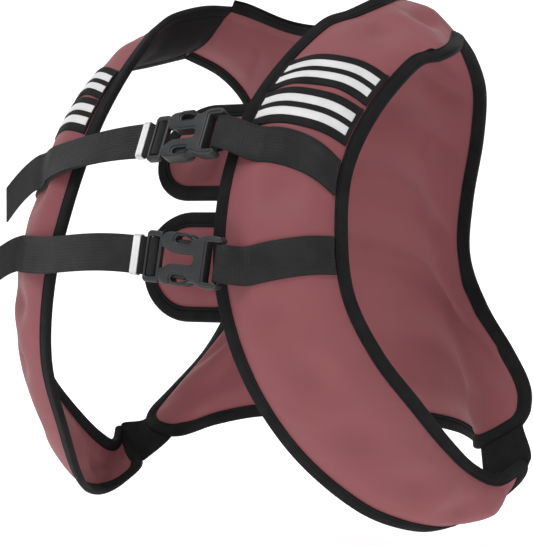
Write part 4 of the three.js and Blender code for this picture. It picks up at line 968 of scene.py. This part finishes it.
def right_webbing(strap, axes):
    """Across the right panel, behind the frame, round its bar, back over the sewn part, and the tail."""
    rows = laid_rows(strap["right"], shares_between(strap["right"])[1], ON_PANEL, RIGHT_ROWS, LAID_CLEAR, -1)
    bar = BAR_LENGTH / 2
    behind = FRAME_THICKNESS / 2 + WEB_CLEAR
    turn_at = LOCK_BAR - bar - WEB_CLEAR
    dive_at = LOCK_BAR + bar + WEB_CLEAR + WEB_CLOTH
    over_bar = LOCK_BAR_THICKNESS / 2 + BAR_CLEAR
    keep = WEB_CLEAR / 2 + WEB_CLOTH
    # Away, outward, and the way it faces in degrees: keeper, over the bar, round it, under, and back.
    path = (
        (KEEPER_AT + KEEPER_WIDTH, -keep, 0), (KEEPER_AT - KEEPER_WIDTH / 2, -keep - 2 * WEB_CLEAR, 0),
        (LOCK_END, -behind - 2 * WEB_CLOTH, 0), (LOCK_BAR + bar, -over_bar - LOOSE_LAP * WEB_CLOTH, 0),
        (LOCK_BAR - bar, -over_bar - WEB_CLOTH, 0),
        (turn_at - WEB_CLOTH, -over_bar, 90), (turn_at - WEB_CLOTH, over_bar, 90),
        (LOCK_BAR - bar, over_bar + WEB_CLOTH, 180), (LOCK_BAR + bar, over_bar + WEB_CLOTH, 180),
        (dive_at, over_bar, DIVE_TILT), (dive_at + 2 * WEB_CLEAR, -over_bar, DIVE_TILT),
        (LOCK_END, -behind, LEAVE_TILT),
        (KEEPER_AT - KEEPER_WIDTH / 2, keep, 180), (KEEPER_AT + KEEPER_WIDTH, keep, 180),
    )
    rows += [buckle_row(axes, u, n, tilt) for u, n, tilt in path]
    over = 2 * WEB_CLOTH + 2 * WEB_CLEAR
    rows += laid_rows(strap["right"], ON_PANEL, strap["laid"], LAPPED_ROWS, over, -1, -1)
    points, normals = rows[-1]
    centre = points.mean(axis=0)
    out, back, fall = strap["tail"]
    for x in TAIL_SHARES:
        shift = np.array([-out * HALF_WIDTH * x, back * HALF_DEPTH * x, -fall * DROP * x**TAIL_DROOP])
        upright = centre + np.array([0, 0, 1.0]) * (-BAND_EDGE * WEB_WIDTH / 2)[:, None]
        normal = unit(normals * (1 - x) + TAIL_FACING * x)
        rows.append((points * (1 - x) + upright * x + shift, normal))
    return rows


webbing = ribbed_cloth(
    "webbing", (0.011, 0.011, 0.012), (0.018, 0.018, 0.019), roughness=0.6, specular=0.25,
    along=420, across=290, across_share=1.2, bump_height=0.00016)
strap_axes = {}
for name, strap in STRAPS.items():
    strap_axes[name] = buckle_axes(strap, strap["slope"])
    for word, make_rows in (("left", left_webbing), ("right", right_webbing)):
        rows = joined_rows(make_rows(strap, strap_axes[name]))
        points, normals, length = smooth_rows(*rows, WEB_STEP)
        points, faces = band_sheet(points, normals, WEB_CLOTH)
        add_piece(f"strap_{name}_{word}", points, faces, webbing, f"webbing_{name}_{word}", "webbing",
                  band_uv(points.shape[0], len(BAND_EDGE), length, WEB_WIDTH))

# Buckles
# Side-release buckles moulded in charcoal acetal. The socket is a flat shell with two lobes, an open
# middle slot and two windows. The plug is a ladder-lock frame whose prongs lie inside the socket.
BUCKLE_HEIGHT = 0.038
SOCKET_THICKNESS = 0.010
SHELL_BEVEL = 0.0011
FACE_THICKNESS = 0.0018
FACE_BEVEL = 0.0005
FACE_SET_IN = 0.0016
WINDOW_AT = 0.75
WINDOW_HALF = 0.14
WINDOW_START = 0.5
WINDOW_END = 0.76
FRAME_BEVEL = 0.0010
FRAME_CORNER = 0.0035
HOLE_CORNER = 0.0008
BAR_CORNER = 0.0006
BAR_REACH = 0.002
PRONG_THICKNESS = 0.0042
PRONG_BEVEL = 0.0008
BUCKLE_HALF = BUCKLE_HEIGHT / 2
WEB_ROOM = WEB_WIDTH / 2 + 2 * WEB_CLEAR
# Half of the socket's outline: share of its length, share of its half height.
SOCKET_OUTLINE = np.array([
    [0.22, 0.0], [0.22, 0.4], [0.22, 0.7], [0.2, 0.77], [0.1, 0.78], [0.01, 0.79], [-0.01, 0.84],
    [0.0, 0.93], [0.04, 1.0], [0.14, 1.02], [0.26, 0.99], [0.34, 0.90], [0.42, 0.84], [0.5, 0.90],
    [0.6, 0.99], [0.76, 1.02], [0.9, 0.99], [0.98, 0.84], [1.0, 0.66], [0.97, 0.50], [0.92, 0.38],
    [0.86, 0.28], [0.78, 0.21], [0.52, 0.2], [0.45, 0.17], [0.42, 0.0],
])
# One prong's outline, in the same shares.
PRONG = np.array([
    [1.02, 0.42], [0.72, 0.3], [0.36, 0.48], [0.34, 0.66], [0.6, 0.76], [0.9, 0.72], [1.02, 0.62],
])


def plastic_plate(loops, thickness, bevel, set_in=0.0):
    """A plate of an outline with holes, drawn in by a distance, its edges rounded by the bevel, as a mesh
    in its own plane."""
    data = bpy.data.curves.new("plate", "CURVE")
    data.dimensions = "2D"
    data.fill_mode = "BOTH"
    data.extrude = thickness / 2 - bevel
    data.bevel_depth = bevel
    data.bevel_resolution = 3
    data.offset = -bevel - set_in
    for number, loop in enumerate(loops):
        area = np.sum(loop[:, 0] * np.roll(loop[:, 1], -1) - np.roll(loop[:, 0], -1) * loop[:, 1])
        ordered = loop if (area > 0) == (number == 0) else loop[::-1]
        spline = data.splines.new("POLY")
        spline.points.add(len(ordered) - 1)
        flat = np.concatenate([ordered, np.zeros((len(ordered), 1)), np.ones((len(ordered), 1))], axis=1)
        spline.points.foreach_set("co", flat.ravel())
        spline.use_cyclic_u = True
    maker = add_object("plate", data)
    bpy.context.view_layer.update()
    mesh = bpy.data.meshes.new_from_object(maker.evaluated_get(bpy.context.evaluated_depsgraph_get()))
    bpy.data.objects.remove(maker)
    return mesh


def smooth_loop(points, steps=8):
    """The closed smooth curve through the points."""
    row = np.arange(len(points) * steps) / steps
    ring = np.concatenate([points[-3:], points, points[:3]])
    return curve_at(ring, row + 3)


def round_box(u0, u1, w0, w1, radius):
    """A rectangle with quarter-circle corners."""
    radius = min(radius, (u1 - u0) / 2, (w1 - w0) / 2)
    corners = np.array([[u1 - radius, w1 - radius], [u0 + radius, w1 - radius],
                        [u0 + radius, w0 + radius], [u1 - radius, w0 + radius]])
    angle = np.linspace(0, np.pi / 2, 8)
    arcs = []
    for quarter, centre in enumerate(corners):
        turned = angle + quarter * np.pi / 2
        arcs.append(centre + radius * np.stack([np.cos(turned), np.sin(turned)], -1))
    return np.concatenate(arcs)


def in_plate(loop):
    """Buckle coordinates, away and up, as the plate's own plane."""
    return loop * np.array([-1, 1])


def bar_loops(middle):
    """The outline of a bar across a buckle, which reaches a little into its sides."""
    reach = WEB_ROOM + BAR_REACH
    return [in_plate(round_box(middle - BAR_LENGTH / 2, middle + BAR_LENGTH / 2, -reach, reach, BAR_CORNER))]


def window(sign):
    """The outline of one of the socket's two windows."""
    middle = sign * BUCKLE_HALF * WINDOW_AT
    reach = BUCKLE_HALF * WINDOW_HALF
    start, end = SOCKET_LENGTH * WINDOW_START, SOCKET_LENGTH * WINDOW_END
    return round_box(start, end, middle - reach, middle + reach, reach)


def add_plastic(name, plates, axes, node):
    """Joins plates at their heights into one piece and sets it at the buckle's place."""
    origin, away, up, outward = axes
    work = bmesh.new()
    for mesh, height in plates:
        mesh.transform(Matrix.Translation((0, 0, height)))
        work.from_mesh(mesh)
    bmesh.ops.remove_doubles(work, verts=work.verts, dist=SAME_PLACE)
    turn = Matrix((-Vector(away), Vector(up), Vector(outward))).transposed()
    work.transform(Matrix.Translation(Vector(origin)) @ turn.to_4x4())
    finish_piece(bpy.data.meshes.new(name), work, plastic, node, "buckle")


plastic, plastic_tree, plastic_shader = new_material("buckle_plastic", 0.42)
grain_finish(plastic_tree, plastic_shader, (0.022, 0.023, 0.025), (0.030, 0.031, 0.033),
             fine_scale=3500, broad_scale=40, bump_height=0.00003)
half_outline = SOCKET_OUTLINE * np.array([SOCKET_LENGTH, BUCKLE_HALF])
outline = smooth_loop(np.concatenate([half_outline, half_outline[-2:0:-1] * np.array([1, -1])]))
socket_loops = [in_plate(loop) for loop in (outline, window(1), window(-1))]
frame_loops = [in_plate(loop) for loop in (
    round_box(SOCKET_LENGTH + WEB_CLEAR, LOCK_END, -BUCKLE_HALF, BUCKLE_HALF, FRAME_CORNER),
    round_box(SOCKET_LENGTH + BAR_LENGTH * 0.9, LOCK_END - BAR_LENGTH * 0.6, -WEB_ROOM, WEB_ROOM,
              HOLE_CORNER),
)]
for name, axes in strap_axes.items():
    plates = [(plastic_plate(socket_loops, SOCKET_THICKNESS, SHELL_BEVEL), 0)]
    for height in (SOCKET_THICKNESS / 2, -SOCKET_THICKNESS / 2):
        plates.append((plastic_plate(socket_loops, FACE_THICKNESS, FACE_BEVEL, FACE_SET_IN), height))
    plates.append((plastic_plate(bar_loops(BAR_LENGTH / 2), BAR_LENGTH, PRONG_BEVEL), 0))
    add_plastic(f"socket_{name}", plates, axes, f"buckle_socket_{name}")
    plates = [(plastic_plate(frame_loops, FRAME_THICKNESS, FRAME_BEVEL), 0)]
    for sign in (1, -1):
        prong = smooth_loop(PRONG * np.array([SOCKET_LENGTH, sign * BUCKLE_HALF]))
        plates.append((plastic_plate([in_plate(prong)], PRONG_THICKNESS, PRONG_BEVEL), 0))
    plates.append((plastic_plate(bar_loops(LOCK_BAR), LOCK_BAR_THICKNESS, BAR_CORNER), 0))
    add_plastic(f"plug_{name}", plates, axes, f"buckle_plug_{name}")

# Keepers
# A pale woven elastic loop, sewn closed, goes round both layers of webbing just past each buckle and
# holds the tail down.
KEEPER_CLOTH = 0.0009
KEEPER_HALF_WIDTH = WEB_WIDTH / 2 + WEB_CLEAR
KEEPER_HALF_DEPTH = 0.0024
KEEPER_INNER_CORNER = 0.0012
KEEPER_OUTER_CORNER = 0.0020
KEEPER_RUN = 0.07
# Across the loop: share of its width, share of its cloth. A groove runs along the middle.
KEEPER_SECTION = np.array([
    [-0.5, 0.8], [-0.46, 1.0], [-0.1, 1.0], [0.0, 0.55], [0.1, 1.0], [0.46, 1.0], [0.5, 0.8],
])
keeper_cloth = ribbed_cloth(
    "keeper_cloth", (0.72, 0.72, 0.71), (0.82, 0.82, 0.81), roughness=0.7, specular=0.2,
    along=900, across=500, across_share=1.0, bump_height=0.0001)


def keeper_ring(cloth, corner):
    """The keeper's inner outline, grown by its cloth."""
    wide = KEEPER_HALF_WIDTH + cloth
    deep = KEEPER_HALF_DEPTH + cloth
    return round_box(-wide, wide, -deep, deep, corner)


def keeper(name, axes):
    """A rounded rectangle tube round both webbings: its outline is carried along its width, and grown
    from the inner one by the share of the cloth."""
    origin, away, up, outward = axes
    inner = keeper_ring(0, KEEPER_INNER_CORNER)
    outer = keeper_ring(KEEPER_CLOTH, KEEPER_OUTER_CORNER)
    widths = KEEPER_SECTION[:, 0] * KEEPER_WIDTH
    grids = []
    for loop, lifts in ((outer, KEEPER_SECTION[:, 1]), (inner, np.ones(len(widths)))):
        scaled = [inner * (1 - lift) + loop * lift for lift in lifts]
        grids.append(np.stack([origin + away * (KEEPER_AT + w) + up * ring[:, :1] + outward * ring[:, 1:]
                               for w, ring in zip(widths, scaled)], axis=1))
    points = np.concatenate([grids[0], grids[1][:, ::-1]], axis=1)
    rows, columns = points.shape[:2]
    ids = np.arange(rows * columns).reshape(rows, columns)
    after, below = np.roll(ids, -1, axis=1), np.roll(ids, -1, axis=0)
    faces = np.stack([ids, after, np.roll(below, -1, axis=1), below], -1).reshape(-1, 4)
    uv = grid_uv(np.linspace(0, KEEPER_RUN, rows), np.linspace(0, 2 * KEEPER_WIDTH, columns))
    add_piece(f"keeper_loop_{name}", points, faces, keeper_cloth, f"keeper_{name}", "keeper", uv)


for name, axes in strap_axes.items():
    keeper(name, axes)

# Chest flaps
# Two small padded tongues with half-round tips lie behind the buckles, sewn behind the left panel's edge
# and bound round their own.
FLAP_HEIGHT = 0.078
FLAP_TUCK = 0.009
FLAP_CLEAR = 0.0015
FLAP_PAD_HALF = 0.0035
FLAP_ROLL = 0.012
FLAP_WAVE_HEIGHT = 0.0005
FLAP_WAVE_FULL = 0.02
FLAP_ROWS = 40
FLAP_TIP_ROWS = 46
FLAP_COLUMNS = 64
FLAP_EDGE_STEPS = 30
FLAP_TIP_STEPS = 90


def flap_plane(strap):
    """Home point and axes of a flap, set back so far that all of its tucked stretch clears the panel."""
    origin, away, up, outward = buckle_axes(strap, 0)
    home = front_point(strap["buckle"], 0, 0)
    span = curve_at(INNER_EDGE, np.array([strap["buckle"] - 0.2, strap["buckle"] + 0.2]))
    rate = np.linalg.norm(span[1] - span[0]) / 0.4
    station = np.repeat(strap["buckle"] - np.linspace(-FLAP_HEIGHT / 2, FLAP_HEIGHT / 2, 7) / rate, 4)
    edge_away = (front_middle(station, np.zeros_like(station)) - home) @ away
    share = np.maximum(FLAP_TUCK + edge_away, 0) * np.tile(np.linspace(0, 1, 4), 7) / front_width(station)
    behind = np.maximum(front_half(station, share), BINDING_HALF) + BINDING_HALF + FLAP_CLEAR
    points = front_middle(station, share) - front_normal(station, share) * behind[:, None]
    depth = ((points - home) @ outward).min()
    return home + outward * depth - away * FLAP_TUCK, away, up, outward


def chest_flap(name, strap, seed):
    """A tongue whose half width is constant, then falls as a circle. Its pad swells in from the edge."""
    corner, away, up, outward = flap_plane(strap)
    half = FLAP_HEIGHT / 2
    tip_start = FLAP_TUCK + strap["flap"] * HALF_WIDTH - half

    def surface(u, w):
        return corner + u[..., None] * away + w[..., None] * up

    def normal(u, w):
        return np.broadcast_to(outward, (*u.shape, 3)).copy()

    angle = np.linspace(0, np.pi / 2, FLAP_TIP_ROWS)
    before = np.linspace(0, tip_start, FLAP_ROWS, endpoint=False)
    rows_u = np.concatenate([before, tip_start + half * np.sin(angle)])
    rows_half = np.concatenate([np.full(FLAP_ROWS, half), half * np.cos(angle)])
    share = np.sin(np.linspace(-np.pi / 2, np.pi / 2, FLAP_COLUMNS))
    w = rows_half[:, None] * share[None, :]
    u = np.repeat(rows_u[:, None], FLAP_COLUMNS, axis=1)
    edge = half - np.where(u < tip_start, np.abs(w), np.hypot(u - tip_start, w))
    lift = pad_half(edge, FLAP_PAD_HALF, FLAP_ROLL)
    lift = lift + ripples(u, w, FLAP_WAVE_HEIGHT, 4, seed) * ramp(edge, BINDING_CLEAR, FLAP_WAVE_FULL)
    middle = surface(u, w)
    points, faces = closed_sheet(middle + lift[..., None] * outward, middle - lift[..., None] * outward)
    piece = add_piece(f"flap_{name}", points, faces, neoprene, f"chest_flap_{name}", "neoprene")
    tip = np.linspace(np.pi / 2, -np.pi / 2, FLAP_TIP_STEPS)
    straight = np.linspace(0, tip_start, FLAP_EDGE_STEPS, endpoint=False)
    level = np.full(FLAP_EDGE_STEPS, half)
    path_u = np.concatenate([straight, tip_start + half * np.cos(tip), straight[::-1]])
    path_w = np.concatenate([level, half * np.sin(tip), -level])
    band = laid_along(surface, normal, ((-1, 1), (-1, 1)), path_u, path_w, 1, binding_d, binding_h)
    add_tube(f"flap_edge_{name}", band, binding_cloth, f"binding_flap_{name}", "binding")


for seed, (name, strap) in enumerate(STRAPS.items()):
    chest_flap(name, strap, 71 + seed)

# Side elastics
# A wide black knitted elastic on each side, sewn in at both ends, joins the front panel's end to the
# back panel's arm and lets the waist give.
ELASTIC_CLOTH = 0.0020
ELASTIC_FRONT = (0.08, 0.92)
ELASTIC_BACK = (0.705, 0.975)
ELASTIC_LEAVE = 0.008
ELASTIC_ROWS = 40
ELASTIC_SIZE = (0.05, 0.06)
elastic_cloth = ribbed_cloth(
    "elastic_cloth", (0.010, 0.010, 0.011), (0.017, 0.017, 0.018), roughness=0.85,
    along=260, across=900, across_share=0.2, bump_height=0.0003)


def side_elastic(word, side):
    """Cubic curves from the panel's end to the arm's end, leaving both in the cloth's own direction."""
    share = BAND_EDGE / 2 + 0.5
    x = ELASTIC_FRONT[0] + (ELASTIC_FRONT[1] - ELASTIC_FRONT[0]) * share
    across = side * (ELASTIC_BACK[0] + (ELASTIC_BACK[1] - ELASTIC_BACK[0]) * share)
    end = np.full_like(x, LAST)
    front_end = mirrored(front_middle(end, x), side)
    leave = unit(front_end - mirrored(front_middle(end - 0.1, x), side))
    back_end = back_middle(np.ones_like(across), across)
    arrive = unit(back_end - back_middle(np.full_like(across, 0.97), across))
    near_front = front_end + leave * ELASTIC_LEAVE
    near_back = back_end + arrive * ELASTIC_LEAVE
    stops = np.stack([front_end, near_front, near_back, back_end])
    t = np.linspace(0, 1, ELASTIC_ROWS)[:, None, None]
    points = (1 - t)**3 * stops[0] + 3 * t * (1 - t)**2 * stops[1]
    points = points + 3 * t**2 * (1 - t) * stops[2] + t**3 * stops[3]
    along = np.gradient(points, axis=0)
    width = (points[:, -1] - points[:, 0])[:, None]
    normals = unit(np.cross(along, np.broadcast_to(width, along.shape))) * side
    points = points - normals * ELASTIC_CLOTH / 2
    points, faces = band_sheet(points, normals, ELASTIC_CLOTH)
    add_piece(f"elastic_{word}", points, faces, elastic_cloth, f"side_elastic_{word}", "elastic",
              band_uv(ELASTIC_ROWS, len(BAND_EDGE), *ELASTIC_SIZE))


side_elastic("left", 1)
side_elastic("right", -1)

# Floor, backdrop and lights
# A pale floor that curves up into a backdrop, a large soft key light high in front of the vest, a weak
# fill low on the right, a smaller light from above, and an even white sky.
FLOOR_HEIGHT = -0.392
FLOOR_GLOW = 0.62
SKY_LIGHT = 0.33
FLOOR_NEAR = 6.0
FLOOR_FAR = 3.0
FLOOR_HALF_WIDTH = 7.0
WALL_RADIUS = 1.5
WALL_HEIGHT = 7.0
WALL_STEPS = 24
FLOOR_GREY = 0.86
# Each light's place, its size across and its power in watts.
LIGHTS = {
    "key_light": ((0.1, -1.9, 2.3), 1.6, 44),
    "fill_light": ((2.2, -0.8, 0.5), 1.6, 2),
    "top_light": ((0.5, -0.3, 2.0), 0.8, 9),
}


def sweep_floor():
    """A flat floor that turns up through a quarter circle into a wall, carried sideways."""
    angle = np.linspace(0, np.pi / 2, WALL_STEPS)
    behind = -np.array(toward_camera)
    behind = unit(np.array([behind[0], behind[1], 0]))
    sideways = np.array([-behind[1], behind[0], 0])
    run = np.concatenate([[-FLOOR_NEAR], FLOOR_FAR + WALL_RADIUS * np.sin(angle), [FLOOR_FAR + WALL_RADIUS]])
    rise = np.concatenate([[0.0], WALL_RADIUS * (1 - np.cos(angle)), [WALL_HEIGHT]])
    path = np.outer(run, behind) + np.outer(rise, [0, 0, 1]) + np.array([0, 0, FLOOR_HEIGHT])
    points = np.stack([path - FLOOR_HALF_WIDTH * sideways, path + FLOOR_HALF_WIDTH * sideways], axis=1)
    ids = np.arange(len(run) * 2).reshape(-1, 2)
    faces = np.stack([ids[:-1, 0], ids[:-1, 1], ids[1:, 1], ids[1:, 0]], -1)
    mesh = bpy.data.meshes.new("floor")
    mesh.from_pydata(points.reshape(-1, 3).tolist(), [], faces.tolist())
    mesh.polygons.foreach_set("use_smooth", [True] * len(mesh.polygons))
    material, _, shader = new_material("floor", 0.6)
    shader.inputs["Base Color"].default_value = (FLOOR_GREY, FLOOR_GREY, FLOOR_GREY, 1)
    shader.inputs["Emission Color"].default_value = (1, 1, 1, 1)
    shader.inputs["Emission Strength"].default_value = FLOOR_GLOW
    mesh.materials.append(material)
    add_object("floor", mesh)


def area_light(name, place, size, power):
    """A square soft light that faces the vest's middle."""
    data = bpy.data.lights.new(name, "AREA")
    data.size = size
    data.energy = power
    light = add_object(name, data)
    light.location = place
    light.rotation_euler = (Vector(place) - LOOK_AT).to_track_quat("Z", "Y").to_euler()


sweep_floor()
for name, (place, size, power) in LIGHTS.items():
    area_light(name, place, size, power)
world = bpy.data.worlds.new("sky")
bpy.context.scene.world = world
world.use_nodes = True
sky = world.node_tree
background = sky.nodes["Background"]
background.inputs["Color"].default_value = (1, 1, 1, 1)
# What the camera sees of the sky is white, and what lights the vest is dimmer.
seen = add_node(sky, "ShaderNodeLightPath").outputs["Is Camera Ray"]
sky.links.new(math_node(sky, "MULTIPLY_ADD", seen, 1 - SKY_LIGHT, SKY_LIGHT), background.inputs["Strength"])
